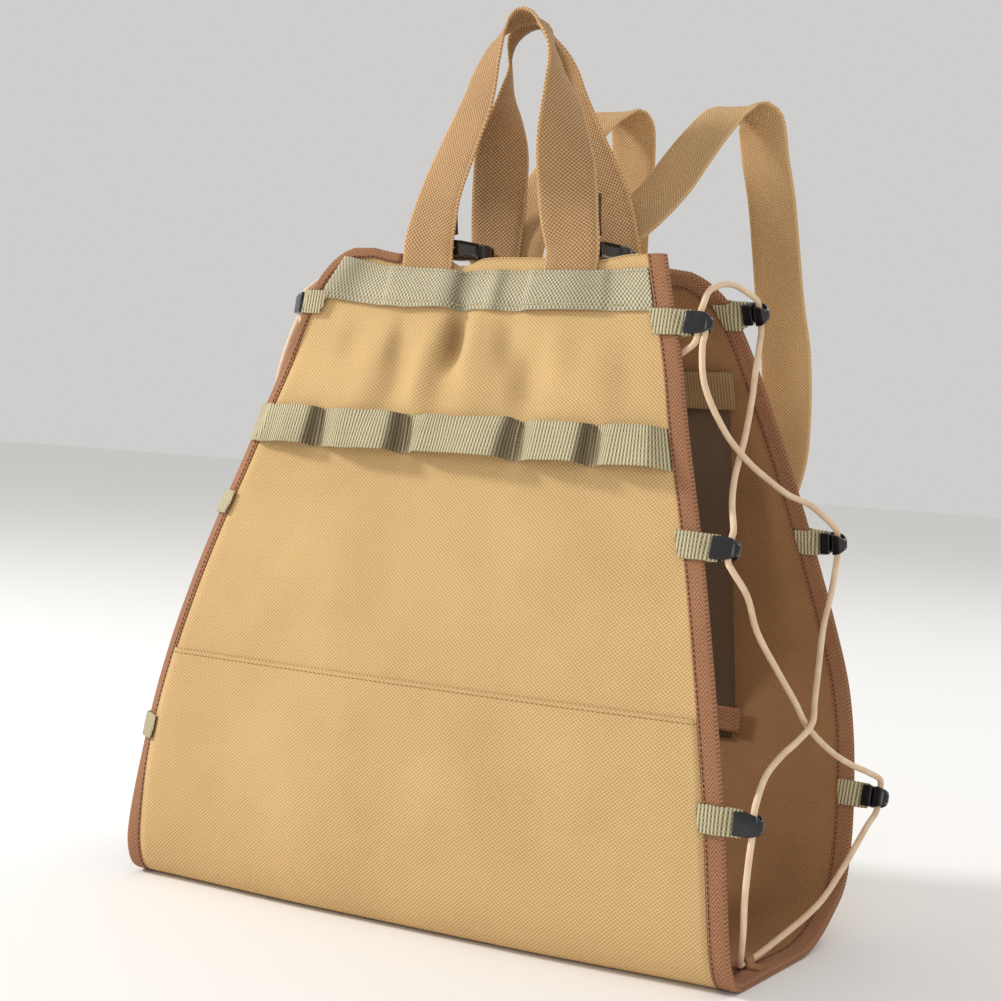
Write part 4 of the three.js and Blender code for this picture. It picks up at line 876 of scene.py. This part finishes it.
# Seams of the base reinforcement and hems of both panels
def surfaceLine(x0, x1, along, offset, gap=2.5):
    places = spaced(x0, x1, max(int(abs(x1 - x0) / gap), 2))
    sign = 1 if offset > 0 else -1
    return [surface(x, along, offset) for x in places], [normalAt(x, along) * sign for x in places]


def addSeams():
    for label, row, direction, inset in (
            ("Front", rowNames["frontSeam"] - seams["panelEdge"], 1, edgeTape["stitchIn"]),
            ("Back", rowNames["backSeam"], -1, creaseInset + 1)):
        along = row + direction * seams["inwards"] / stepLength(row)
        line = surfaceLine(inset - edgeAt(along, -1), edgeAt(along, 1) - inset, along, seams["lift"])
        stitchRow("seamStitches" + label, *line, "thread")
    for label, row, direction in (("Front", 0, 1), ("Back", lastRow, -1)):
        along = row + direction * canvas["hemDepth"] / endStep(row, direction)
        for face, sign in (("Outside", 1), ("Inside", -1)):
            line = surfaceLine(-seams["hemReach"], seams["hemReach"], along, sign * seams["hemLift"])
            stitchRow("hemStitches" + label + face, *line, "thread")


# A hem is the canvas folded over once at the top edge: distance down against offset inwards
hemOutline = [(13, 0.9), (13, 1.7), (6, 1.9), (0.6, 1.8), (-0.5, 1.1), (-0.8, 0), (-0.5, -1.0), (0.3, -1.1),
              (0.3, 0.9)]


def addHem(label, row, direction, left, right):
    rings = []
    for x in spaced(left, right, 90):
        up = (middlePoint(x, row) - middlePoint(x, row + direction * 0.05)).normalized()
        rings.append([surface(x, row + direction * max(down, 0) / endStep(row, direction), -offset)
                      + up * -min(down, 0) for down, offset in hemOutline])
    sweepPiece("hem" + label, rings, [13, 13, 6, 1, 0, -1, -2, -3, 12], "canvas")


addSeams()
addHem("Front", 0, 1, -66, 108)
addHem("Back", lastRow, -1, -66, 78)
print("stage: seams and hems sewn")


# Bands of flat webbing across a panel
def bandPiece(name, panel, height, places, stand, finish, node, sign=1, lean=0.0, slant=(0, 0), shadeValues=None):
    centre = alongAt(panel, height)
    thickness, halfRows = carrier["bandThickness"], bandWidth / 2 / stepLength(centre)
    across = [-1, -0.97, -0.5, 0, 0.5, 0.97, 1]
    outline = [(share, 1) for share in across] + [(share, -1) for share in reversed(across)]
    downwards = 1 if panel == "front" else -1
    rings = []
    for x in places:
        leftShare, rightShare = 1 - smooth(0, 40, x - places[0]), 1 - smooth(0, 40, places[-1] - x)
        shift = (slant[1] * rightShare - slant[0] * leftShare) / 2
        ring = []
        for share, face in outline:
            thin = 0.25 if abs(share) == 1 else 0.5
            out = stand(x) * (1 + lean * share) + thickness * (0.5 + face * thin)
            ring.append(surface(x + (downwards * share + 1) * shift, centre + share * halfRows, sign * out))
        rings.append(ring)
    piece = sweepPiece(name, rings, [share * bandWidth / 2 for share, _ in outline], finish, [node])
    if shadeValues:
        setPaintedShade(piece, [value for value in shadeValues for _ in outline])


def liftOver(x, centres, halfSpan, amount):
    return max(amount * (1 - smooth(halfSpan, halfSpan + 7, abs(x - centre))) for centre in centres)


def bandReach(panel, height, inset):
    upper = alongAt(panel, height + bandWidth / 2)
    return inset - edgeAt(upper, -1), edgeAt(upper, 1) - inset


# In slant, how far the lower corners reach out on the left and right; in the last entry, place, spread and depth of
# patches of painted shade on the front band
topBand = {"height": topLevel - 21, "stand": 1.4, "legLift": 2.65, "legReach": 24, "tapeInset": 4, "rightInset": 11.8,
           "ripple": ((0.9, 11), (0.6, 5.3)),
           "slantFront": (15, 7.5), "slantBack": (14, 14),
           "paintedShade": ((-98, 9, 0.4), (-19, 9, 0.55), (12, 5, 0.45), (74, 14, 0.25))}
midBand = {"height": 311, "base": 1.2, "stand": 10.5, "slack": (0.72, 0.003), "firstLoop": 0.75,
           "tacks": (-0.72, -0.25, 0.32, 0.68), "parts": 30,
           "slopes": ((0.62, 0.88), (0.35, 0.88), (0.2, 0.9), (0.3, 0.87), (0.3, 0.78)), "rightInset": 11.8}


def addTopBands():
    tapeFrom = carrier["strapWidth"] / 2 - legPlaces("front")[0]
    overTape, lift, height = carrier["tapeOuter"] + 0.3 - topBand["stand"], topBand["legLift"], topBand["height"]

    def frontStand(x):
        ripple = sum(high * math.sin(x / wide) for high, wide in topBand["ripple"])
        return topBand["stand"] + max(liftOver(x, legPlaces("front"), topBand["legReach"], lift), ripple, 0,
                                      overTape * smooth(tapeFrom - 6, tapeFrom, -x))

    def backStand(x):
        return topBand["stand"] + max(liftOver(x, legPlaces("back"), topBand["legReach"], lift),
                                      liftOver(x, legPlaces("shoulder"), topBand["legReach"] + 1, 2 * lift + 0.4),
                                      overTape * smooth(tapeFrom - 6, tapeFrom, abs(x)))

    for panel, stand, inset, count, paintedShade, downwards in (
            ("front", frontStand, topBand["rightInset"], 150, topBand["paintedShade"], 1),
            ("back", backStand, topBand["tapeInset"], 130, (), -1)):
        label = panel.capitalize()
        start, end = bandReach(panel, height, topBand["tapeInset"])[0], bandReach(panel, height, inset)[1]
        places = spaced(start, end, count)
        # painted shade: darker patches along the front band
        shadeValues = [sum(depth * math.exp(-((x - centre) / spread) ** 2) for centre, spread, depth in paintedShade)
                   for x in places]
        bandPiece("topBand" + label, panel, height, places, stand, "oliveCheck", "top_band_" + panel,
                  slant=topBand["slant" + label], shadeValues=shadeValues)
        centre = alongAt(panel, height)
        for edgeLabel, share in (("Upper", -1), ("Lower", 1)):
            along = centre + downwards * share * (bandWidth / 2 - 2) / stepLength(centre)
            places = spaced(start + 2, end - 2, 90)
            points = [surface(x, along, stand(x) + carrier["bandThickness"]) for x in places]
            stitchRow("bandStitches" + label + edgeLabel, points, [normalAt(x, along) for x in places], "oliveThread")


# The loop band stands off the panel between its tacks, and each loop falls steeply into a crease darkened with
# painted shade
def addMidBand():
    centre = alongAt("front", midBand["height"])
    left, right = -edgeAt(centre, -1) - 0.8, bandReach("front", midBand["height"], midBand["rightInset"])[1]
    stops = [left] + [tack * right for tack in midBand["tacks"]] + [right]
    places, stands, shadeValues = [], {}, []
    for index, (up, down) in enumerate(midBand["slopes"]):
        first, last = index == 0, index + 2 == len(stops)
        span = stops[index + 1] - stops[index]
        bulge = midBand["stand"] * (midBand["slack"][0] + midBand["slack"][1] * span)
        for part in range(midBand["parts"] + (1 if last else 0)):
            share = part / midBand["parts"]
            x = stops[index] + span * share
            rise = smooth(0, up, share) * (1 - smooth(down, 1, share)) * (1 - 0.12 * math.sin(2 * math.pi * share))
            overTape = 1.3 * smooth(-12, -2, left - x + 14) if first else 0
            places.append(x)
            stands[x] = midBand["base"] + bulge * rise * (midBand["firstLoop"] if first else 1) + overTape
            # Painted shade: dark where each loop falls to the next tack, a little darker just after each tack
            folded = 0 if last else smooth(down - 0.06, down + 0.05, share) * (1 - smooth(0.95, 1, share))
            shadeValues.append(0.8 * folded + (0 if first else 0.25 * (1 - smooth(0, 0.07, share))))
    bandPiece("loopBand", "front", midBand["height"], places, lambda x: stands[x], "olive", "mid_band", lean=0.26,
              slant=(0, 7.5), shadeValues=shadeValues)
    halfRows = (bandWidth / 2 - 1) / stepLength(centre)
    offset = midBand["base"] + carrier["bandThickness"] + 0.25
    for number, stop in enumerate(stops[1:-1]):
        points = [surface(stop + (1.1 if k % 2 else -1.1), centre + (k / 14 - 1) * halfRows, offset)
                  for k in range(29)]
        tubePiece("bandTack" + str(number + 1), points, 0.8, 6, "tackThread")


addTopBands()
addMidBand()
print("stage: bands made")


# Straps follow stations: a centre in millimetres and the turn of the width in degrees
strapOutline = [(-1, -0.4), (-0.97, -0.9), (-0.6, -1), (0, -1), (0.6, -1), (0.97, -0.9), (1, -0.4),
                (1, 0.4), (0.97, 0.9), (0.6, 1), (0, 1), (-0.6, 1), (-0.97, 0.9), (-1, 0.4)]


def strapPiece(name, centres, turns, width, thickness, finish, node, gap=4.0, sway=0.0):
    fine, fineTurns = [], []
    for index in range(len(centres) - 1):
        parts = max(int((centres[index + 1] - centres[index]).length / gap), 1)
        for part in range(parts):
            fine.append(splinePoint(centres, index + part / parts))
            fineTurns.append(turns[index] + (turns[index + 1] - turns[index]) * part / parts)
    fine.append(centres[-1])
    fineTurns.append(turns[-1])
    for _ in range(3):
        between = [(a + 2 * b + c) / 4 for a, b, c in zip(fineTurns, fineTurns[1:], fineTurns[2:])]
        fineTurns = [fineTurns[0]] + between + [fineTurns[-1]]
    rings = []
    for index, centre in enumerate(fine):
        before, after = neighbours(fine, index)
        forward = (after - before).normalized()
        angle = math.radians(fineTurns[index])
        across = Vector((math.cos(angle), math.sin(angle), 0))
        wide = (across - forward * across.dot(forward)).normalized()
        thin = wide.cross(forward).normalized()
        bow = noise.noise(Vector((index * 0.13, width, 2))) * sway
        rings.append([centre + wide * a * width / 2 + thin * (b * thickness / 2 + bow * a * a)
                      for a, b in strapOutline])
    sweepPiece(name, rings, [a * width / 2 for a, _ in strapOutline], finish, [node])


seatHeights = [topBand["height"] - 13.5, topBand["height"], topBand["height"] + 15.5]
handles = {"rise": 160, "apexGap": 39.6, "thickness": 2.2}
frontHandlePath = [
    (-1.0, 1.0, 0.03, 0), (-0.87, 1.0, 0.225, -14), (-0.7, 0.91, 0.394, -18), (-0.51, 0.73, 0.581, -24),
    (-0.43, 0.5, 0.756, -36), (-0.33, 0.23, 0.885, -50), (-0.17, 0.05, 0.945, -68), (0.0, 0.0, 0.968, -80),
    (0.15, 0.02, 0.945, -76), (0.29, 0.14, 0.878, -68), (0.46, 0.37, 0.806, -66), (0.57, 0.5, 0.725, -78),
    (0.68, 0.68, 0.6, -101), (0.76, 0.82, 0.45, -126), (0.85, 0.91, 0.3, -150), (0.94, 1.0, 0.131, -168),
    (1.0, 1.0, 0.03, -180),
]
backHandlePath = [
    (-1.0, 1.0, 0.04, 0), (-0.99, 1.0, 0.22, 18), (-0.97, 0.94, 0.41, 34), (-0.93, 0.8, 0.57, 72),
    (-0.88, 0.64, 0.675, 102), (-0.8, 0.46, 0.8, 118), (-0.73, 0.3, 0.875, 126), (-0.6, 0.16, 0.93, 118),
    (-0.42, 0.04, 0.97, 104), (-0.24, 0.0, 0.98, 98), (-0.08, 0.06, 0.955, 106), (0.05, 0.24, 0.885, 124),
    (0.16, 0.42, 0.8, 140), (0.26, 0.6, 0.67, 150), (0.43, 0.74, 0.53, 160), (0.63, 0.88, 0.39, 168),
    (0.82, 0.97, 0.26, 175), (1.0, 1.0, 0.05, 180),
]


def addHandle(panel, path):
    sign = -1 if panel == "front" else 1
    leftX, rightX = legPlaces(panel)
    centreX, halfSpan = (leftX + rightX) / 2, (rightX - leftX) / 2
    left, right = ([onPanel(panel, x, height, carrier["seatOffset"]) for height in seatHeights]
                   for x in (leftX, rightX))
    legDepth, apexDepth = abs(left[2].y), handles["apexGap"] / 2
    free = [Vector((centreX + across * halfSpan, sign * (apexDepth + (legDepth - apexDepth) * out),
                    topLevel + rise * handles["rise"])) for across, out, rise, _ in path]
    turns = [0] * 3 + [row[3] for row in path] + [path[-1][3]] * 3
    strapPiece("handle" + panel.capitalize(), left + free + right[::-1], turns, carrier["strapWidth"],
               handles["thickness"], "tan", "handle_" + panel, sway=1.0)


addHandle("front", frontHandlePath)
addHandle("back", backHandlePath)

shoulder = {"rise": 113, "reach": 132, "footHeight": 262, "footLength": 19, "foot": 0.62, "footDrift": 6,
            "topOffset": 5.6, "footOffset": 3.35, "thickness": 2.0}
rightShoulderPath = [
    (0.15, 0.345, 0.12, 0), (0.245, 0.42, 0.29, 0), (0.32, 0.51, 0.49, -3), (0.36, 0.58, 0.66, -5),
    (0.4, 0.66, 0.83, -8), (0.44, 0.75, 0.965, -10), (0.475, 0.83, 1.0, -10), (0.505, 0.89, 0.95, -10),
    (0.527, 0.925, 0.7, -10), (0.548, 0.955, 0.46, -10), (0.57, 0.985, 0.1, -9), (0.585, 1.0, -0.15, -8),
    (0.615, 1.0, -0.45, -7), (0.635, 0.97, -0.75, -6), (0.645, 0.925, -1.05, -4), (0.64, 0.865, -1.24, -2),
]
leftShoulderPath = [
    (-0.124, 0.345, 0.11, 0), (-0.11, 0.43, 0.36, 0), (-0.076, 0.51, 0.55, -3), (-0.03, 0.61, 0.78, -5),
    (0.02, 0.71, 0.93, -8), (0.06, 0.82, 0.985, -10), (0.075, 0.88, 0.93, -10), (0.073, 0.925, 0.72, -10),
    (0.05, 0.975, 0.32, -8), (0.02, 1.02, 0.0, -5), (-0.12, 1.03, -0.3, -2), (-0.33, 1.01, -0.62, 0),
    (-0.49, 0.965, -0.93, 2), (-0.575, 0.885, -1.16, 2),
]


def addShoulderStrap(side, path):
    index, sign, drift = (0, -1, shoulder["footDrift"]) if side == "left" else (1, 1, 0)
    topX, footX = legPlaces("shoulder")[index], sign * shoulder["foot"] * halfWidth
    top = [onPanel("back", topX, height, shoulder["topOffset"]) for height in seatHeights]
    foot = [onPanel("back", footX - drift * share, shoulder["footHeight"] - shoulder["footLength"] * share,
                    shoulder["footOffset"]) for share in (0, 1)]
    free = [Vector((across * halfWidth, reach * shoulder["reach"], topLevel + rise * shoulder["rise"]))
            for across, reach, rise, _ in path]
    turns = [0] * 3 + [row[3] for row in path] + [0] * 2
    strapPiece("shoulderStrap" + side.capitalize(), top + free + foot, turns, carrier["strapWidth"],
               shoulder["thickness"], "strap", "shoulder_strap_" + side, sway=0.8)


addShoulderStrap("left", leftShoulderPath)
addShoulderStrap("right", rightShoulderPath)
print("stage: handles and shoulder straps made")


# Hard pieces, shaped in edit mode
def pickFaces(piece, test):
    work = bmesh.from_edit_mesh(piece.data)
    for thing in list(work.verts) + list(work.edges) + list(work.faces):
        thing.select = False
    for face in work.faces:
        if test(face.calc_center_median() / mm, face.normal):
            face.select = True
    work.select_flush_mode()
    bmesh.update_edit_mesh(piece.data)


def pickCorners(piece, test):
    work = bmesh.from_edit_mesh(piece.data)
    bpy.ops.mesh.select_all(action="DESELECT")
    for vertex in work.verts:
        vertex.select = test(vertex.co / mm)
    work.select_flush(True)
    bmesh.update_edit_mesh(piece.data)


def startCube(name, low, high):
    deselectAll()
    middle = [(a + b) / 2 * mm for a, b in zip(low, high)]
    bpy.ops.mesh.primitive_cube_add(size=1, location=middle, scale=[(b - a) * mm for a, b in zip(low, high)])
    piece = bpy.context.object
    piece.name = name
    bpy.ops.object.transform_apply(location=True, rotation=True, scale=True)
    bpy.ops.object.mode_set(mode="EDIT")
    return piece


def cutAt(place, normal):
    bpy.ops.mesh.select_all(action="SELECT")
    bpy.ops.mesh.bisect(plane_co=[value * mm for value in place], plane_no=normal)


def extrudeBy(x, y, z):
    bpy.ops.mesh.extrude_region_move(TRANSFORM_OT_translate={"value": (x * mm, y * mm, z * mm)})


def softenEdges(piece, width, segments=3, angle=32):
    bpy.ops.object.mode_set(mode="OBJECT")
    applyModifier(piece, "BEVEL", width=width * mm, segments=segments, limit_method="ANGLE",
                  angle_limit=math.radians(angle))


# A hook in its own directions: x out from the panel's edge, y off the canvas, z down
hook = {"web": (12.3, 14.2), "jaw": 3.55, "slot": 1.9, "half": 7.0, "back": 4.8, "plate": 6.9, "rise": 0.12,
        "curlCentre": (21.1, -0.35), "lip": 4.6, "edge": 0.7,
        "dome": ((17.5, 0.94), (20.3, 0.92), (21.5, 0.93), (22.4, 0.9), (23.2, 0.86), (23.9, 0.8), (24.6, 0.72))}


def makeHook():
    near, far = hook["web"]
    jaw, slotHalf, half = hook["jaw"], hook["slot"], hook["half"]
    piece = startCube("hookPattern", (near, -jaw, -half), (far, jaw, half))
    cutAt((0, slotHalf, 0), (0, 1, 0))
    cutAt((0, -slotHalf, 0), (0, 1, 0))
    pickFaces(piece, lambda centre, normal: normal.x < -0.9 and abs(centre.y) > slotHalf)
    extrudeBy(-hook["back"], 0, 0)
    pickFaces(piece, lambda centre, normal: normal.x > 0.9 and centre.y > slotHalf)
    for _ in range(3):
        extrudeBy(hook["plate"] / 3, hook["rise"], 0)
    centreX, centreY = hook["curlCentre"]
    bpy.ops.mesh.spin(steps=9, angle=math.pi, center=(centreX * mm, centreY * mm, 0), axis=(0, 0, 1))
    extrudeBy(-hook["lip"], 0, 0)
    for reach, share in hook["dome"]:
        pickCorners(piece, lambda corner: corner.x > reach)
        bpy.ops.transform.resize(value=(1, 1, share), center_override=(0, 0, 0))
    softenEdges(piece, hook["edge"])
    piece.data.materials.append(finishes["plastic"])
    return piece


def copyOf(pattern, name, node, change):
    piece = addObject(name, pattern.data.copy())
    for vertex in piece.data.vertices:
        vertex.co = change(vertex.co / mm) * mm
    piece.data.update()
    facesOutwards(piece)
    finishPiece(piece, slots["plastic"], [node], 40)


def dropPattern(pattern):
    mesh = pattern.data
    bpy.data.objects.remove(pattern)
    bpy.data.meshes.remove(mesh)


# For every hook its side, its place, its pieces' label and the end of its nodes' names
def hookPlaces():
    for side in ("left", "right"):
        for panel, number, height, lift in hookRows:
            label = panel.capitalize() + side.capitalize() + str(number)
            yield side, edgeFrame(side, panel, height, lift), label, "%s_%s_%d" % (panel, side, number)


def addHooks():
    pattern = makeHook()
    for side, place, label, ending in hookPlaces():
        copyOf(pattern, "hook" + label, "hook_" + ending,
               lambda local: placeAt(place, *swung(local.x, local.y, side), local.z))
    dropPattern(pattern)


addHooks()
print("stage: hooks made")

# Tabs take the folded shape of their solids, with softened edges and ribs along their width
tab = {"edge": 0.35, "sharp": 38, "long": 0.010, "ease": 0.12}


def addTabs():
    for _, (origin, outward, _, upright), label, ending in hookPlaces():
        node = "tab_" + ending
        piece = addObject("tab" + label, bpy.data.objects[node].data.copy())
        piece.data.materials.clear()
        piece.data.materials.append(finishes["olive"])
        work = bmesh.new()
        work.from_mesh(piece.data)
        bmesh.ops.remove_doubles(work, verts=work.verts, dist=0.00001)
        bmesh.ops.recalc_face_normals(work, faces=work.faces)
        long = [edge for edge in work.edges if edge.calc_length() > tab["long"]]
        bmesh.ops.subdivide_edges(work, edges=long, cuts=1)
        bmesh.ops.triangulate(work, faces=work.faces)
        bmesh.ops.smooth_vert(work, verts=work.verts, factor=tab["ease"], use_axis_x=True, use_axis_y=True,
                              use_axis_z=True)
        layer = work.loops.layers.uv.verify()
        for face in work.faces:
            for loop in face.loops:
                reach = loop.vert.co / mm - origin
                loop[layer].uv = (reach.dot(upright) * mm, reach.dot(outward) * mm)
        work.to_mesh(piece.data)
        work.free()
        piece.data.uv_layers[0].name = "UVMap"
        finishPiece(piece, slots["olive"], [node], tab["sharp"])
        softenEdges(piece, tab["edge"], 2, tab["sharp"])


addTabs()
print("stage: tabs made")

# Buckles, their straps and the straps' loose ends
buckle = {"lift": 3.8, "length": 56, "height": 12, "body": (14.6, -27.6, 1), "plug": (11.4, 0, 26),
          "prongs": (7, 17), "strapWidth": 25, "strapThickness": 1.5, "tailRise": 27}


def insetBy(thickness, depth):
    bpy.ops.mesh.inset(thickness=thickness * mm, depth=depth * mm, use_individual=True)


def makeBuckle():
    half, (bodyHalf, bodyBack, bodyFront) = buckle["height"] / 2 - 0.4, buckle["body"]
    body = startCube("buckleBody", (-bodyHalf, bodyBack, -half), (bodyHalf, bodyFront, half))
    pickFaces(body, lambda centre, normal: normal.y < -0.9)
    insetBy(2.2, -1.2)
    pickFaces(body, lambda centre, normal: abs(normal.x) > 0.9)
    insetBy(2.6, -1.8)
    pickFaces(body, lambda centre, normal: abs(normal.z) > 0.9)
    insetBy(3.4, 0.4)
    softenEdges(body, 1.3)
    half, (plugHalf, plugBack, plugFront) = buckle["height"] / 2 - 1.7, buckle["plug"]
    near, far = buckle["prongs"]
    plug = startCube("bucklePlug", (-plugHalf, plugBack, -half), (plugHalf, plugFront, half))
    cutAt((0, near, 0), (0, 1, 0))
    cutAt((0, far, 0), (0, 1, 0))
    pickFaces(plug, lambda centre, normal: abs(normal.x) > 0.9 and near < centre.y < far)
    bpy.ops.transform.resize(value=(1.14, 1, 1.25), center_override=(0, 0, 0))
    pickFaces(plug, lambda centre, normal: abs(normal.z) > 0.9 and centre.y > far)
    insetBy(2.4, -1.4)
    softenEdges(plug, 1.2)
    makeActive(body)
    plug.select_set(True)
    bpy.ops.object.join()
    body.data.materials.append(finishes["plastic"])
    return body


def addClosings():
    pattern = makeBuckle()
    level, width, thickness = topLevel + buckle["lift"], buckle["strapWidth"], buckle["strapThickness"]
    inside = 1 + 0.65 + thickness / 2
    for side, x in zip(("left", "right"), legPlaces("front")):
        middleY = (surface(x, 0, -1).y + surface(x, lastRow, -1).y) / 2
        copyOf(pattern, "buckle" + side.capitalize(), "buckle_" + side,
               lambda local: local + Vector((x, middleY, level)))
        for panel, row, sign in (("front", 0, 1), ("back", lastRow, -1)):
            buckleEnd = middleY - sign * (buckle["length"] / 2 + 0.3)
            top = surface(x, row, -inside - 0.3)
            centres = [onPanel(panel, x, topBand["height"] + rise, -inside) for rise in (-12.5, 6.25)] + [top]
            centres += [Vector((x, top.y + (buckleEnd - top.y) * share, level - below))
                        for share, below in ((0.22, 4), (0.6, 1), (1, 0))]
            strapPiece("closingStrap" + panel.capitalize() + side.capitalize(), centres, [0] * len(centres), width,
                       thickness, "tan", "closing_strap_%s_%s" % (side, panel), gap=3)
        foot, tailY = level + buckle["height"] / 2 + 1.3, middleY - buckle["length"] / 2 + 6
        centres = [Vector((x - 2 - 4 * share, tailY + 4 * share * share, foot + share * buckle["tailRise"]))
                   for share in (0, 0.5, 1)]
        # Painted shade: the loose ends take the dark webbing for their shaded side
        strapPiece("strapTail" + side.capitalize(), centres, [0] * 3, width, thickness, "dark", "strap_tail_" + side,
                   gap=3)
    dropPattern(pattern)


addClosings()
print("stage: buckles and closing straps made")

# The patches over the cords' lowest bends
cordKeeper = {"length": 10, "width": 23, "skin": 1.2}


def addCordKeeper(side):
    sign = -1 if side == "left" else 1
    lowest = keeperPlace(side)
    floor, tape = ground + 1.3, ground + carrier["tapeOuter"] + 0.3
    arch, skin = lacingCord["diameter"] / 2 + 0.6, cordKeeper["skin"]
    under = lowest.z + arch
    inward, outward = cordKeeper["width"] * 0.54, cordKeeper["width"] * 0.46
    outline = [
        (-inward, floor), (-arch - 1.2, floor), (-arch, floor + 1), (-arch, under - 1), (-arch + 1, under),
        (arch - 1, under), (arch, under - 1), (arch, tape + 1), (arch + 0.6, tape), (outward, tape),
        (outward, tape + skin), (arch + skin + 0.8, tape + skin), (arch + skin, tape + skin + 0.8),
        (arch + skin - 0.4, under), (arch, under + skin), (-arch, under + skin), (-arch - skin + 0.4, under),
        (-arch - skin, floor + skin + 1), (-arch - skin - 1, floor + skin), (-inward, floor + skin),
    ]
    rings = [[Vector((lowest.x + sign * a, lowest.y + end * cordKeeper["length"] / 2, z)) for a, z in outline]
             for end in (-1, -0.5, 0, 0.5, 1)]
    piece = sweepPiece("cordKeeper" + side.capitalize(), rings, [a for a, _ in outline], "canvasShaded",
                       ["cord_keeper_" + side])
    smoothByAngle(piece, 50)


for side in ("left", "right"):
    addCordKeeper(side)

# Webbing inside the back panel, the dark strip that hangs from it and its sewn keeper
strip = {"across": 0.47, "keeperHeight": 130, "width": 40, "thickness": 1.2, "bandHeight": 352, "bandOffset": 2.3,
         "gap": 0.65, "keeperReach": 6, "seamHeight": 6.5}


def addInnerPieces():
    x, inner, thickness = strip["across"] * halfWidth, strip["bandOffset"], strip["thickness"]
    height, keeper = strip["bandHeight"], strip["keeperHeight"]
    halfKeeper = strip["width"] / 2 + strip["keeperReach"]
    low, high = bandReach("back", height, creaseInset + 0.3)
    bandPiece("innerBand", "back", height, spaced(low, high, 90),
              lambda place: inner + liftOver(place, [x], halfKeeper, thickness + strip["gap"]),
              "shadedOlive", "inner_band", sign=-1)
    band, hang, foot = ([onPanel("back", x, place, -inner - thickness / 2) for place in places]
                        for places in ((height + 11.5, height), (height - 15.5, keeper + 12), (keeper, keeper - 12)))
    centres = band + [hang[0].lerp(hang[1], share) for share in (0, 0.25, 0.5, 0.75, 1)] + foot
    strapPiece("innerStrip", centres, [0] * len(centres), strip["width"], thickness, "dark", "inner_strip", gap=5,
               sway=0.6)
    offset = -inner - thickness - strip["gap"] - thickness / 2
    strapPiece("stripKeeper", [onPanel("back", x, keeper + rise, offset) for rise in (8, 0, -8)], [0] * 3,
               2 * halfKeeper, thickness, "tape", "strip_keeper", gap=2)
    half, rise = halfKeeper - 2, strip["seamHeight"]
    corners = [(-half, rise), (half, rise), (half, -rise), (-half, -rise), (-half, rise), (half, -rise)]
    points = []
    for (ax, az), (bx, bz) in zip(corners, corners[1:]):
        for share in spaced(0, 1, 24)[:-1]:
            points.append(onPanel("back", x + ax + (bx - ax) * share, keeper + az + (bz - az) * share,
                                  offset - thickness / 2))
    stitchRow("keeperStitches", points, [Vector((0, -1, 0))] * len(points), "thread", slots["tape"])


addInnerPieces()
print("stage: keepers and inner pieces made")


# Floor, lights and surroundings
studio = {
    "floor": (246, 245, 243), "floorSize": 14, "world": 0.62, "aim": (0, 0, 0.25),
    "lights": (("keyLight", (-2.4, -1.1, 1.75), 0.45, 64), ("fillLight", (1.3, -2.5, 1.0), 1.2, 13),
               ("backLight", (0.9, 2.2, 2.2), 1.6, 18)),
}


def addStudio():
    deselectAll()
    bpy.ops.mesh.primitive_plane_add(size=studio["floorSize"], location=(0, 0, 0))
    floor = bpy.context.object
    floor.name = "studioFloor"
    material, tree, shader = startMaterial("studioFloor", 0.9)
    put(tree, rgb(*studio["floor"]), shader.inputs["Base Color"])
    floor.data.materials.append(material)
    for name, place, size, power in studio["lights"]:
        data = bpy.data.lights.new(name, "AREA")
        data.size, data.energy = size, power
        aim = (Vector(studio["aim"]) - Vector(place)).to_track_quat("-Z", "Y").to_matrix().to_4x4()
        addObject(name, data).matrix_world = Matrix.Translation(place) @ aim
    world = bpy.data.worlds.new("studioWorld")
    world.use_nodes = True
    background = world.node_tree.nodes["Background"]
    background.inputs["Color"].default_value = (1.0, 0.99, 0.975, 1)
    background.inputs["Strength"].default_value = studio["world"]
    bpy.context.scene.world = world
    bpy.context.scene.view_settings.view_transform = "Standard"


addStudio()
print("stage: studio set")
